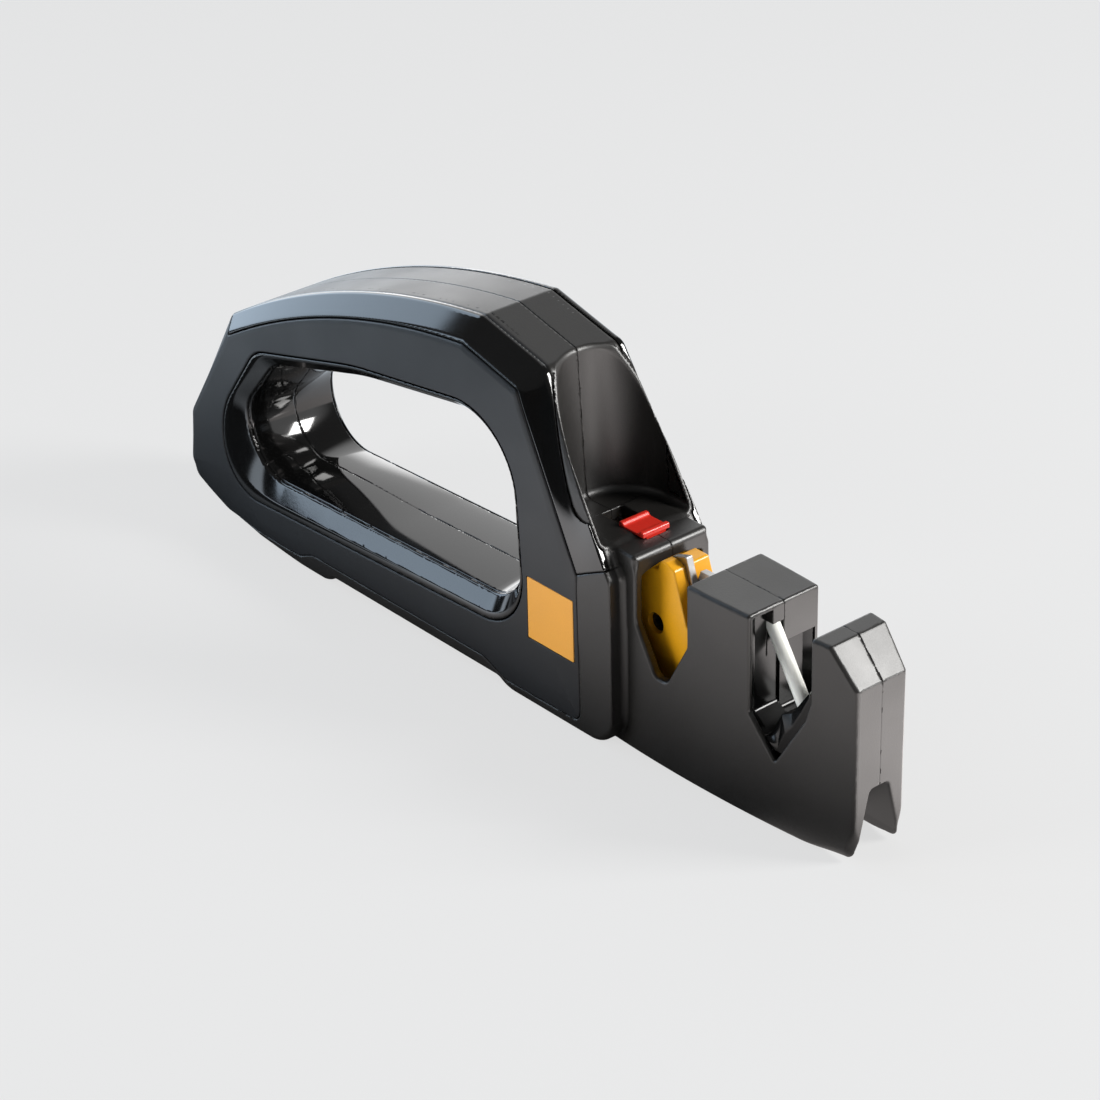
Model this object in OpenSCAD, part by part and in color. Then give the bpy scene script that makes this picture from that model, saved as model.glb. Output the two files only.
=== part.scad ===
// Handheld pull-through knife and tool sharpener with a closed loop handle.
// Millimetres. +X points to the nose, +Z is up, the table is z = 0.
// The case is split on the middle plane y = 0. The right side is -Y.

/* [Handle] */
// Distance from the middle of the tool to the rear end of the handle
handle_rear = 112; // [108:0.5:116]
// Full width across the two side panels
body_width = 30; // [28.5:0.5:32]
// Width of the flat top of the grip
grip_width = 22; // [20:0.5:24]
// Height of the grip above the table
grip_height = 88; // [85:0.5:92]
// How far the long top line of the handle bows up
top_bow = 5.2; // [3.5:0.1:6.5]
// Thickness of each soft side panel
panel_thick = 2.4; // [1.8:0.1:3]
// Thickness of the gloss trim, measured across the tool
trim_thick = 1.6; // [1.2:0.1:2]
// Height of the gap under the middle of the handle
foot_height = 2.2; // [1.4:0.1:2.6]

/* [Finger loop] */
// Wall of the gloss loop liner
liner_wall = 1.5; // [1.2:0.1:1.8]
// How much the liner narrows towards the middle plane
liner_crown = 1.0; // [0.4:0.1:1.4]
// Depth of the flared lip at each side
lip_depth = 1.7; // [1.2:0.1:2.2]

/* [Nose] */
// Half width of the nose where it is widest
nose_half = 10.8; // [10.2:0.1:11.4]
// Radius of the long curve of the nose walls
nose_curve = 365; // [330:5:420]
// Height of the shoulder and of the middle block
block_top = 48.5; // [47.5:0.1:49]
// Height of the front tooth
tooth_top = 49.8; // [48.8:0.1:51]
// Front face of the nose
nose_front = 112.1; // [110:0.1:114]
// Height of the notch under the nose
notch_height = 16.8; // [13:0.1:18]

/* [Carbide carrier] */
// Height of the pivot above the table
pivot_z = 18; // [17.6:0.1:18.4]
// Diameter of the pivot pin
pin_diam = 3; // [2.6:0.1:3.4]
// Half thickness of the carrier
carrier_half = 5; // [4.6:0.1:5.4]
// Largest tilt of the carrier to each side, in degrees
carrier_swing = 7; // [5:0.5:7.5]
// Thickness of each carbide plate
carbide_thick = 1.7; // [1.4:0.1:2]

/* [Ceramic rods] */
// Diameter of each ceramic rod
rod_diam = 3.2; // [3:0.1:3.4]
// Lean of each rod from upright, in degrees
rod_lean = 32.6; // [31:0.1:34]

/* [Lock slider] */
// Travel of the slider towards the handle
slider_travel = 6.5; // [5:0.5:6.5]
// Half width of the slider's thumb plate
slider_half = 3.9; // [3.6:0.1:4.2]

/* [Hidden] */
$fn = 48;

big = 300;
side = body_width / 2;
grip = grip_width / 2;
eps = 0.01;

// A corner list is [x, z, radius]. rounded() turns it into an outline.
function unit(v) = v / norm(v);
function cross2(u, v) = u[0] * v[1] - u[1] * v[0];
function xz(p) = [p[0], p[1]];
function arc_corner(a, b, c, n) =
    let (u = unit(xz(a) - xz(b)), v = unit(xz(c) - xz(b)),
         half = acos(u * v) / 2, r = b[2])
    r < eps ? [xz(b)] :
    let (mid = xz(b) + unit(u + v) * r / sin(half),
         from = xz(b) + u * r / tan(half) - mid,
         t0 = atan2(from[1], from[0]),
         sweep = (cross2(u, v) > 0 ? -1 : 1) * (180 - 2 * half))
    [for (i = [0:n]) mid + r * [cos(t0 + sweep * i / n), sin(t0 + sweep * i / n)]];
function rounded(p, n = 5) =
    [for (i = [0:len(p) - 1])
        each arc_corner(p[(i + len(p) - 1) % len(p)], p[i], p[(i + 1) % len(p)], n)];
// Moves every side of a convex corner list outwards by g.
function grown(p, g) =
    [for (i = [0:len(p) - 1])
        let (a = xz(p[(i + len(p) - 1) % len(p)]), b = xz(p[i]), c = xz(p[(i + 1) % len(p)]),
             u = unit(a - b), v = unit(c - b), half = acos(u * v) / 2,
             q = b - unit(u + v) * g / sin(half))
        [q[0], q[1], p[i][2] + g]];
// Points along a shallow arc from a to b that bows up by s in its middle.
function bow(a, b, s, n) =
    let (d = b - a, nrm = unit([-d[1], d[0]]))
    [for (i = [0:n]) let (t = i / n) a + d * t + nrm * 4 * s * t * (1 - t)];

// Upper points move with the grip height, rear points with the rear end.
function lift(z) = z < 50 ? z : 50 + (z - 50) * (grip_height - 50) / 38;
function back(x) = x * handle_rear / 112;
function set_back(p) =
    [for (q = p) len(q) == 3 ? [q[0] < 0 ? back(q[0]) : q[0], q[1], q[2]]
        : [q[0] < 0 ? back(q[0]) : q[0], q[1]]];

// Extrudes an outline drawn in x and z from y0 to y1.
module plate(pts, y0, y1) {
    translate([0, y1, 0])
    rotate([90, 0, 0])
    linear_extrude(y1 - y0)
    polygon(pts);
}
module right_part() {
    intersection() {
        children();
        translate([-big, -big, -big])
        cube([2 * big, big, 2 * big]);
    }
}
module left_part() {
    intersection() {
        children();
        translate([-big, 0, -big])
        cube([2 * big, big, 2 * big]);
    }
}

// Handle outlines at five depths. The body is drawn over them.
front_x = 45.2;
crown_line = set_back(concat([[-112, 13.4], [-111.4, 27]],
    bow([-94, lift(56.6)], [0, grip_height], top_bow, 9),
    [[18.6, lift(83.5)], [18.6, 20]]));
rim_top = [[21.3, lift(82.6)], [23.2, lift(80)], [20, 70]];
rim_upper = [[31.8, lift(65)], [31, 60], [30, lift(64)]];
rim_lower = [[40.4, 50], [39, 44], [38, 50]];
toe_r = 7;
strip_line = set_back(concat([[-68, 0], [-84, 0.7], [0, 30], [44.4, 43.8], [front_x, 30]],
    [for (a = [0:30:90]) [front_x - toe_r + toe_r * cos(a), toe_r - toe_r * sin(a)]]));
tail_line = set_back([[-110.8, 8.2], [-98.5, 2.4], [-90, 1], [-60, 10]]);
face_top = bow([-91.2, lift(53)], [-1.9, lift(81.9)], top_bow - 0.3, 9);
panel_plane = set_back(concat([[-109.8, 12.6], [-108.6, 26.8]], face_top,
    [[16.4, lift(77.2)], [17.8, lift(73.4)], [33.2, 43], [36.4, 39], [36.4, 3], [34, 2],
     [-66, 2], [-84, 4], [-93.8, 11.3]]));

module handle_outer() {
    hull() {
        plate(crown_line, -grip, grip);
        plate(rim_top, -grip - 0.8, grip + 0.8);
        plate(rim_upper, -13.1, 13.1);
        plate(rim_lower, -14.2, 14.2);
        plate(strip_line, -side + 0.4, side - 0.4);
        plate(tail_line, -side + 1.7, side - 1.7);
        plate(panel_plane, -side, side);
    }
}

// Side panel outline. It runs past the rear edge, which it wraps.
panel_line = set_back(concat(rounded([[-125, 6.6, 0], [-98, 2.6, 0], [-67.4, 3.0, 3],
        [-62, 5.3, 3], [1.9, 5.6, 4], [9.5, 2.6, 4], [35.2, 3.0, 2.6], [34.7, 39.6, 1.5],
        [17.7, lift(73.8), 1], [16.3, lift(77.3), 1]]),
    [for (i = [0:9]) face_top[9 - i]],
    [[-99, lift(63)], [-125, lift(63)]]));
// Everything under the lower front end of the trim.
under_trim = [[-130, -5], [60, -5], [60, 51.9], [34.8, 39.9], [-130, 39.9]];

// Finger loop: lip line on the panel, through line at the lip, middle line.
lip_line = set_back([[-80.5, 52.6, 12], [-96, 31.5, 10], [-95.2, 11.1, 12.5],
    [17.3, 16.8, 15], [14, 70.6, 18.5], [-42, 62.6, 100]]);
edge_line = set_back([[-76, 50.2, 12], [-88.2, 31.8, 10], [-87.8, 18.4, 10],
    [15, 22.6, 12], [12.5, 67.9, 16], [-40, 60, 90]]);
mid_line = grown(edge_line, -liner_crown);
seat_line = grown(edge_line, liner_wall);
lip_in = side - lip_depth;
seat_in = side - panel_thick - 0.4;

module loop_void() {
    // Crowned in the middle, flared at each lip.
    for (m = [0, 1])
    mirror([0, m, 0]) {
        plate(rounded(mid_line), -side * 0.45, 0);
        hull() {
            plate(rounded(mid_line), -side * 0.45, -side * 0.45 + eps);
            plate(rounded(edge_line), -lip_in, -lip_in + eps);
        }
        hull() {
            plate(rounded(edge_line), -lip_in, -lip_in + eps);
            plate(rounded(lip_line), -side - 1, -side - 1 + eps);
        }
    }
}
module loop_seat() {
    plate(rounded(seat_line), -seat_in, seat_in);
    plate(rounded(lip_line), -side - 1, -seat_in);
    plate(rounded(lip_line), seat_in, side + 1);
}

module panel_blank() {
    // Skin of the handle inside the panel outline, on the right side.
    difference() {
        intersection() {
            handle_outer();
            plate(panel_line, -side - 1, -grip + 2);
        }
        translate([0, panel_thick, 0])
        handle_outer();
        plate(rounded(lip_line), -side - 1, 0);
    }
}
module trim_blank() {
    // Skin outside the panel outline, above the lower front cut and round the scoop.
    difference() {
        handle_outer();
        translate([0, trim_thick, 0])
        handle_outer();
        scoop();
        plate(panel_line, -side - 1, 0);
        plate(under_trim, -side - 1, side + 1);
        // Nothing of it lies further in than its own thickness.
        translate([-big, trim_thick - grip - 0.1, -big])
        cube([2 * big, big, 2 * big]);
    }
}

// Nose, seen from the side. The two slots are open at the top.
slot_a_rear = 49.1;
slot_a_front = 65.2;
slot_b_rear = 83.5;
slot_b_front = 100.1;
slot_b_mid = (slot_b_rear + slot_b_front) / 2;
slot_a = rounded([[slot_a_rear, 80, 0], [slot_a_rear, 32.6, 4], [55.2, 21.9, 2.4],
    [58.9, 21.9, 2.4], [slot_a_front, 33.4, 2], [slot_a_front, 80, 0]]);
slot_b = rounded([[slot_b_rear, 80, 0], [slot_b_rear, 25.7, 0.5], [90.8, 16.6, 0.4],
    [98.6, 29.6, 2], [slot_b_front, 34.6, 4], [slot_b_front, 80, 0]]);
tooth_edge = 105;
facet_bottom = 41.7;
round_edge = 0.8;
nose_side = rounded([[30, 0, 0], [nose_front, 0, 2.6],
    [nose_front, facet_bottom, round_edge], [tooth_edge, tooth_top, round_edge],
    [slot_b_front - 0.3, tooth_top, 0], [slot_b_front - 0.3, block_top - 3, 0],
    [slot_b_rear, block_top - 3, 0], [slot_b_rear, block_top, round_edge],
    [slot_a_front, block_top, round_edge], [slot_a_front, block_top - 3, 0],
    [slot_a_rear, block_top - 3, 0], [slot_a_rear, block_top - 0.2, round_edge],
    [30, block_top - 0.2, 0]], 4);
notch_rear = 97;
module nose_walls(inset) {
    // The two long wall curves meet a plain front.
    intersection() {
        translate([60, nose_curve - nose_half + inset, -5])
        cylinder(r = nose_curve, h = 80, $fn = 720);
        translate([60, nose_half - nose_curve - inset, -5])
        cylinder(r = nose_curve, h = 80, $fn = 720);
        translate([30, -20, -5])
        cube([nose_front - 30, 40, 80]);
    }
}
module notch() {
    // Tapered notch under the nose, wider at the table.
    translate([notch_rear, 0, 0])
    rotate([90, 0, 90])
    linear_extrude(30)
    polygon(rounded([[-6.6, -1, 0], [-5.9, 3, 0], [-2.6, notch_height, 1.2],
        [2.6, notch_height, 1.2], [5.9, 3, 0], [6.6, -1, 0]]));
}
module nose_solid() {
    difference() {
        intersection() {
            nose_walls(0);
            plate(nose_side, -20, 20);
        }
        plate(slot_a, -20, 20);
        plate(slot_b, -20, 20);
        notch();
    }
}
module wall_fillet() {
    // Hollow fillet where the nose wall leaves the handle front.
    flute = 2;
    translate([front_x - 0.5, -nose_half - flute + 0.4, 0.6])
    difference() {
        cube([flute + 0.5, flute + 0.2, block_top - 7]);
        translate([flute + 0.5, 0, -1])
        cylinder(r = flute, h = block_top);
    }
}

// Scoop in front of the grip, above the shoulder.
scoop_r = 12.6;
shoulder_top = block_top - 0.2;
module scoop() {
    intersection() {
        translate([34, 0, shoulder_top])
        rotate([0, -3.7, 0])
        translate([0, 0, -10]) {
            cylinder(r = scoop_r, h = 80, $fn = 96);
            translate([0, -scoop_r, 0])
            cube([40, 2 * scoop_r, 80]);
        }
        translate([0, -20, shoulder_top])
        cube([80, 40, 60]);
    }
}

// Slot for the slider in the shoulder.
slider_rest = [36.2, 44.1];
slot_end = 44.3;
slot_half = slider_half - 0.8;
top_wall = 2.7;
module slider_slot() {
    translate([slider_rest[0] - slider_travel - 0.3, -slot_half, shoulder_top - top_wall - 1])
    cube([slot_end - slider_rest[0] + slider_travel + 0.3, 2 * slot_half, top_wall + 3]);
}

// Space for the carrier, with the arched window in the shoulder front.
window_half = 8.6;
window_r = 44.8 - pivot_z;
bay_rear = 30;
bay_front = 66.2;
module carrier_bay() {
    intersection() {
        translate([bay_rear, 0, pivot_z])
        rotate([0, 90, 0])
        cylinder(r = window_r, h = bay_front - bay_rear, $fn = 96);
        translate([bay_rear, -window_half, pivot_z - 12])
        cube([bay_front - bay_rear, 2 * window_half, 60]);
    }
}

// Ceramic rod seat. The holder fills this pocket.
holder_rear = 79.5;
holder_front = 104.2;
holder_low = 18.6;
skin = 1.1;
holder_tab = 3.3;
function holder_line(top) = [[holder_rear, holder_low + 0.6], [90.5, holder_low],
    [slot_b_mid, holder_low], [slot_b_mid, top], [holder_rear, top]];
holder_front_line = [[slot_b_mid, holder_low], [96, holder_low], [holder_front, 26],
    [holder_front, 36], [slot_b_mid, 36]];
module half_turn() {
    translate([slot_b_mid, 0, 0])
    rotate([0, 0, 180])
    translate([-slot_b_mid, 0, 0])
    children();
}
module holder_end() {
    // High beside the rod, lower under the tab, lowest on the other half.
    plate(holder_line(block_top - skin), -20, -holder_tab);
    plate(holder_line(block_top - 4.5), -holder_tab, 0);
    plate(holder_line(38.7), 0, 20);
}
module holder_pocket(gap) {
    // Follows the nose walls and leaves a skin there.
    intersection() {
        nose_walls(skin - gap);
        union() {
            holder_end();
            intersection() {
                half_turn()
                holder_end();
                translate([0, -20, 22])
                cube([holder_front, 40, 40]);
            }
            plate(holder_front_line, -20, 20);
        }
    }
}

// Rods: the rear rod leans on the right side, the front rod on the left.
rod_tail = 8;
rod_len = 27.5;
rod_mid_y = rod_diam / 2 + 0.1;
rod_cross_z = 27.5;
module rod_place(a) {
    translate([slot_b_mid, 0, rod_cross_z])
    rotate([0, 0, a])
    translate([0, -rod_mid_y, 0])
    rotate([0, -rod_lean, 0])
    children();
}

// Screws from the left side: two under the panel, two in the nose.
screw_spots = set_back([[-99.5, 20], [28, 11], [-3, 76.5], [72.5, 35], [107.6, 29]]);
screw_head = 2.9;
screw_shank = 1.4;
head_in = [side - panel_thick - 1.6, side - panel_thick - 1.6, side - panel_thick - 1.6, 7, 4];
shank_to = [-8.5, -8.5, -8.5, -7.5, -5];
module screw_holes() {
    for (i = [0:len(screw_spots) - 1])
    translate([screw_spots[i][0], 0, screw_spots[i][1]])
    rotate([-90, 0, 0]) {
        translate([0, 0, shank_to[i] - 0.5])
        cylinder(r = screw_shank, h = head_in[i] - shank_to[i] + 0.5, $fn = 32);
        translate([0, 0, head_in[i]])
        cylinder(r = screw_head + 0.3, h = 20, $fn = 32);
    }
}

// Inner hollow of the handle shell.
shell_wall = 2.4;
core_line = rounded(set_back([[-108.6, 14, 2], [-108, 26, 3], [-91.5, 53.6, 4],
    [-52, 72.4, 60], [0, grip_height - shell_wall - 0.4, 4], [15.6, lift(81), 3],
    [18, 45, 2], [42.6, 42, 2], [42.6, 3, 2], [10, 3, 1], [2, 4.8, 1], [-58, 4.8, 1],
    [-62, 3.4, 1], [-97, 5.4, 3]]), 3);
module shell_core() {
    difference() {
        plate(core_line, -side + panel_thick + 1.8, side - panel_thick - 1.8);
        plate(rounded(grown(seat_line, 1.8)), -side, side);
        // Screw posts stay.
        for (i = [0:2])
        translate([screw_spots[i][0], -20, screw_spots[i][1]])
        rotate([-90, 0, 0])
        cylinder(r = 3.6, h = 40, $fn = 32);
        // Wall behind the scoop and round the slider bay.
        translate([17.4, -20, 30])
        cube([40, 40, 40]);
        translate([23.6, -20, 0])
        cube([40, 40, 40]);
    }
}
module slider_bay() {
    // Hollow under the shoulder top, where the slider and the carrier tail meet.
    translate([28.6, -window_half, 30])
    cube([16.4, 2 * window_half, shoulder_top - top_wall - 30]);
}

module case_solid() {
    difference() {
        union() {
            handle_outer();
            nose_solid();
            wall_fillet();
            mirror([0, 1, 0])
            wall_fillet();
        }
        // Gap between the feet.
        plate(set_back([[-58.6, -1], [-54, foot_height], [6.5, foot_height], [12, -1]]),
            -20, 20);
        scoop();
        slider_slot();
        carrier_bay();
        slider_bay();
        shell_core();
        loop_seat();
        holder_pocket(0.05);
        for (a = [0, 180])
        rod_place(a)
        translate([0, 0, -rod_tail - 0.2])
        cylinder(r = rod_diam / 2 + 0.05, h = rod_len + 0.6);
        // Pivot pin hole.
        translate([pin_rear - 0.1, 0, pivot_z])
        rotate([0, 90, 0])
        cylinder(r = pin_diam / 2, h = pin_front - pin_rear + 0.2);
        spring_seats();
        screw_holes();
    }
}

// Pivot pin and centring springs.
pin_rear = 27;
pin_front = 72;
spring_x = 39.5;
spring_y = 5.4;
spring_r = 1.9;
spring_wire = 0.5;
spring_low = 4.6;
spring_high = 11.6;
module spring_seats() {
    for (m = [-1, 1])
    translate([spring_x, m * spring_y, spring_low])
    cylinder(r = spring_r + 0.3, h = 8);
}
module spring() {
    // Turns drawn as one ridged sleeve.
    turns = 6;
    pitch = (spring_high - spring_low) / turns;
    rotate_extrude($fn = 32)
    polygon(concat([for (i = [0:2 * turns]) [spring_r - (i % 2) * spring_wire * 0.6,
            i * pitch / 2]],
        [[spring_r - 2 * spring_wire, 2 * turns * pitch / 2], [spring_r - 2 * spring_wire, 0]]));
}

// Carrier halves. The right half has its arm at the rear of the slot.
slot_a_mid = (slot_a_rear + slot_a_front) / 2;
car_rear = 43.8;
car_front = bay_front - 0.9;
arm_dx = 2;
carbide_lean = 18.3;
function flipped(p) = [for (q = p) [2 * slot_a_mid - q[0], q[1]]];
window_top = pivot_z + sqrt(pow(window_r - 0.5, 2) - pow(carrier_half, 2));
right_line = rounded([[car_rear, 12, 1.5], [car_rear, window_top - 3, 1],
    [46.6, window_top, 1], [49.9, window_top, 0.6], [50.6, 46.2, 0.8], [52.4, 46.5, 1],
    [55.1, 45.5, 1], [58.9, 33.6, 2], [63.2, 28.5, 3], [car_front, 26, 2],
    [car_front, 12, 1.5]], 4);
// The left half backs the rear carbide and carries the front one.
left_line = rounded([[car_rear, 12, 1.5], [car_rear, window_top - 3, 1],
    [46.6, window_top, 1], [49.9, window_top, 0.6], [50.9, 46, 0.6], [55.2, 46, 0.8],
    [56.9, 41.2, 0.4], [57.6, 41.2, 0.4], [58.6, 43.2, 0.8], [61.6, 43.6, 1],
    [64.3, 42.6, 1], [car_front - 0.2, 38, 1], [car_front, 12, 1.5]], 4);
carbide_top = [47.7, 44.8];
module carbide_bar() {
    // Lying in its lean, with its top end cut level.
    width = 4.6;
    translate([slot_a_mid, 0, 42.6])
    rotate([0, -carbide_lean, 0])
    translate([-width, 0, -12.5])
    cube([width, carbide_thick, 18]);
}
module rear_carbide() {
    intersection() {
        translate([0, -carbide_thick - 0.03, 0])
        carbide_bar();
        translate([0, -20, 0])
        cube([100, 40, carbide_top[0]]);
    }
}
module front_carbide() {
    intersection() {
        translate([slot_a_mid, 0, 0])
        rotate([0, 0, 180])
        translate([-slot_a_mid, -carbide_thick - 0.03, 0])
        carbide_bar();
        translate([0, -20, 0])
        cube([100, 40, carbide_top[1]]);
    }
}
// Brake sector on the tail. Its rim is an arc about the pivot, so the slider's
// foot clears it at every tilt.
sector_x = 32.6;
sector_thick = 2.8;
sector_half = 4.6;
sector_r = 22.8;
brake_gap = 0.3;
brake_half = 3;
arm_z = [29.5, 33.6];
module about_pivot(r) {
    translate([0, 0, pivot_z])
    rotate([0, 90, 0])
    cylinder(r = r, h = 60, $fn = 96);
}
module carrier_tail() {
    // Arm to the brake sector, and a foot on each spring.
    translate([sector_x, -4, arm_z[0]])
    cube([car_rear - sector_x + 1, 8, arm_z[1] - arm_z[0]]);
    intersection() {
        translate([sector_x, -sector_half, arm_z[0]])
        cube([sector_thick, 2 * sector_half, 20]);
        about_pivot(sector_r);
    }
    translate([spring_x - 2.6, -spring_y - 1.4, spring_high + 0.1])
    cube([car_rear - spring_x + 3.6, 2 * spring_y + 2.8, 3]);
}
clamp_x = 49.2;
clamp_z = 30.5;
clamp_shank = 1.25;
clamp_seat = 1.9;
module carrier_cuts() {
    translate([0, 0, pivot_z])
    rotate([0, 90, 0])
    cylinder(r = pin_diam / 2 + 0.06, h = 100);
    translate([clamp_x, -20, clamp_z])
    rotate([-90, 0, 0])
    cylinder(r = clamp_shank, h = 40, $fn = 32);
    translate([clamp_x, -carrier_half - 1, clamp_z])
    rotate([-90, 0, 0])
    cylinder(r = 2.4, h = 1 + clamp_seat, $fn = 32);
    rear_carbide();
    front_carbide();
}

// Node modules.
module right_housing_half() {
    color([0.13, 0.12, 0.12])
    difference() {
        right_part()
        case_solid();
        panel_blank();
        trim_blank();
    }
}
module left_housing_half() {
    color([0.13, 0.12, 0.12])
    difference() {
        left_part()
        case_solid();
        mirror([0, 1, 0]) {
            panel_blank();
            trim_blank();
        }
    }
}
badge_line = [[18.2, 17.6], [33.6, 17.6], [33.6, 33], [18.2, 33]];
badge_thick = 0.5;
module right_grip_panel() {
    color([0.22, 0.24, 0.26])
    difference() {
        right_part()
        panel_blank();
        plate(badge_line, -side - 1, -side + badge_thick);
    }
}
module left_grip_panel() {
    color([0.22, 0.24, 0.26])
    mirror([0, 1, 0])
    right_part()
    panel_blank();
}
module right_gloss_trim() {
    color([0.03, 0.03, 0.03])
    right_part()
    trim_blank();
}
module left_gloss_trim() {
    color([0.03, 0.03, 0.03])
    mirror([0, 1, 0])
    right_part()
    trim_blank();
}
module right_loop_liner() {
    color([0.04, 0.04, 0.04])
    difference() {
        intersection() {
            right_part()
            loop_seat();
            translate([-big, -side, -big])
            cube([2 * big, 2 * side, 2 * big]);
        }
        loop_void();
    }
}
module left_loop_liner() {
    color([0.04, 0.04, 0.04])
    mirror([0, 1, 0])
    difference() {
        intersection() {
            right_part()
            loop_seat();
            translate([-big, -side, -big])
            cube([2 * big, 2 * side, 2 * big]);
        }
        loop_void();
    }
}
module badge_plate() {
    color([0.85, 0.6, 0.2])
    plate(badge_line, -side, -side + badge_thick);
}
module lock_slider() {
    rib = 1.1;
    rise = 1.3;
    dip = 0.6;
    flange = 1.4;
    foot_len = 4;
    stem = [slider_rest[0] + 0.5, slider_rest[1] - 0.1];
    stem_half = slot_half - 0.3;
    stem_low = shoulder_top - top_wall - 0.2 - flange;
    plate_z = shoulder_top + 0.15;
    color([0.8, 0.13, 0.08]) {
        // Thumb plate with a rib at each end and a scooped middle.
        plate(rounded([[slider_rest[0], plate_z, 0], [slider_rest[1], plate_z, 0],
            [slider_rest[1], plate_z + rise, 0.4], [slider_rest[1] - rib, plate_z + rise, 0.4],
            [slider_rest[1] - rib - 0.7, plate_z + dip, 0.8],
            [slider_rest[0] + rib + 0.7, plate_z + dip, 0.8],
            [slider_rest[0] + rib, plate_z + rise, 0.4],
            [slider_rest[0], plate_z + rise, 0.4]], 4), -slider_half, slider_half);
        translate([stem[0], -stem_half, stem_low])
        cube([stem[1] - stem[0], 2 * stem_half, plate_z - stem_low + 0.2]);
        // Flange that keeps it under the top wall.
        translate([stem[0], -slot_half - flange, stem_low])
        cube([stem[1] - stem[0], 2 * (slot_half + flange), flange]);
        // Brake foot. Slid back, it stands over the carrier's sector.
        difference() {
            translate([sector_x + slider_travel - 0.8, -brake_half, pivot_z + sector_r - 0.3])
            cube([foot_len, 2 * brake_half, stem_low + 0.9 - pivot_z - sector_r]);
            about_pivot(sector_r + brake_gap);
        }
    }
}
module right_carrier_half() {
    color([0.93, 0.66, 0.08])
    difference() {
        union() {
            plate(right_line, -carrier_half, -0.05);
            right_part()
            carrier_tail();
        }
        carrier_cuts();
        translate([0, -0.05, 0])
        cube([100, 1, 100]);
    }
}
module left_carrier_half() {
    color([0.9, 0.62, 0.08])
    difference() {
        union() {
            plate(left_line, 0.05, carrier_half);
            left_part()
            carrier_tail();
        }
        carrier_cuts();
        translate([0, -0.95, 0])
        cube([100, 1, 100]);
    }
}
module rear_carbide_plate() {
    color([0.72, 0.73, 0.74])
    rear_carbide();
}
module front_carbide_plate() {
    color([0.68, 0.69, 0.7])
    front_carbide();
}
module carrier_clamp_screw() {
    head = 0.9;
    color([0.5, 0.5, 0.52])
    translate([clamp_x, 0, clamp_z])
    rotate([-90, 0, 0])
    difference() {
        union() {
            translate([0, 0, -carrier_half + clamp_seat])
            cylinder(r = clamp_shank, h = 2 * carrier_half - clamp_seat - 0.3, $fn = 32);
            translate([0, 0, -carrier_half + clamp_seat - head])
            cylinder(r = 2.2, h = head, $fn = 32);
        }
        translate([0, 0, -carrier_half])
        cylinder(r = 1, h = clamp_seat - 0.3, $fn = 6);
    }
}
module pivot_pin() {
    color([0.6, 0.6, 0.62])
    translate([pin_rear, 0, pivot_z])
    rotate([0, 90, 0])
    cylinder(r = pin_diam / 2, h = pin_front - pin_rear);
}
module right_centring_spring() {
    color([0.7, 0.7, 0.7])
    translate([spring_x, -spring_y, spring_low])
    spring();
}
module left_centring_spring() {
    color([0.7, 0.7, 0.7])
    translate([spring_x, spring_y, spring_low])
    spring();
}
// Holder opening: middle outline for the right half, turned for the left.
recess = 1.8;
guide_low = 22;
guide_line = rounded([[slot_b_rear - recess, 80, 0], [slot_b_rear - recess, 24, 1],
    [86.6, 20.3, 0.5], [89.9, 26.6, 0.5], [92.9, 28.2, 0.5],
    [slot_b_front, 38.4, 0], [slot_b_front, 80, 0]]);
turned_front = slot_b_front + 1.2;
turned_line = rounded([[slot_b_rear - 1.2, 80, 0], [slot_b_rear - 1.2, 31, 1],
    [87.5, guide_low, 1], [turned_front, guide_low, 1], [turned_front, 80, 0]]);
mouth_line = rounded([[slot_b_rear - 0.3, 80, 0], [slot_b_rear - 0.3, 25.9, 0],
    [90.8, 17.2, 0], [98.4, 29.7, 0], [slot_b_front + 0.2, 35, 0],
    [slot_b_front + 0.2, 80, 0]]);
guide_half = 6.6;
module guide_half_void(line) {
    plate(line, -guide_half, 0);
    hull() {
        plate(line, -guide_half - eps, -guide_half);
        plate(mouth_line, -nose_half, -nose_half + 1.4);
    }
}
module rod_holder() {
    color([0.02, 0.02, 0.02])
    difference() {
        holder_pocket(0);
        guide_half_void(guide_line);
        half_turn()
        guide_half_void(turned_line);
        for (a = [0, 180])
        rod_place(a)
        translate([0, 0, -rod_tail - 0.2])
        cylinder(r = rod_diam / 2 + 0.05, h = rod_len + 0.6);
    }
}
module rear_ceramic_rod() {
    color([0.95, 0.95, 0.92])
    rod_place(0)
    translate([0, 0, -rod_tail])
    cylinder(r = rod_diam / 2, h = rod_len);
}
module front_ceramic_rod() {
    color([0.93, 0.93, 0.9])
    rod_place(180)
    translate([0, 0, -rod_tail])
    cylinder(r = rod_diam / 2, h = rod_len);
}
module housing_screws() {
    color([0.55, 0.55, 0.57])
    for (i = [0:len(screw_spots) - 1])
    translate([screw_spots[i][0], 0, screw_spots[i][1]])
    rotate([-90, 0, 0])
    difference() {
        union() {
            translate([0, 0, shank_to[i]])
            cylinder(r = screw_shank, h = head_in[i] - shank_to[i], $fn = 32);
            translate([0, 0, head_in[i]])
            cylinder(r = screw_head, h = 1.5, $fn = 32);
        }
        translate([0, 0, head_in[i] + 0.5])
        cylinder(r = 1.3, h = 2, $fn = 6);
    }
}

right_housing_half();
left_housing_half();
right_grip_panel();
left_grip_panel();
right_gloss_trim();
left_gloss_trim();
right_loop_liner();
left_loop_liner();
badge_plate();
lock_slider();
right_carrier_half();
left_carrier_half();
rear_carbide_plate();
front_carbide_plate();
carrier_clamp_screw();
pivot_pin();
right_centring_spring();
left_centring_spring();
rod_holder();
rear_ceramic_rod();
front_ceramic_rod();
housing_screws();
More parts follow.
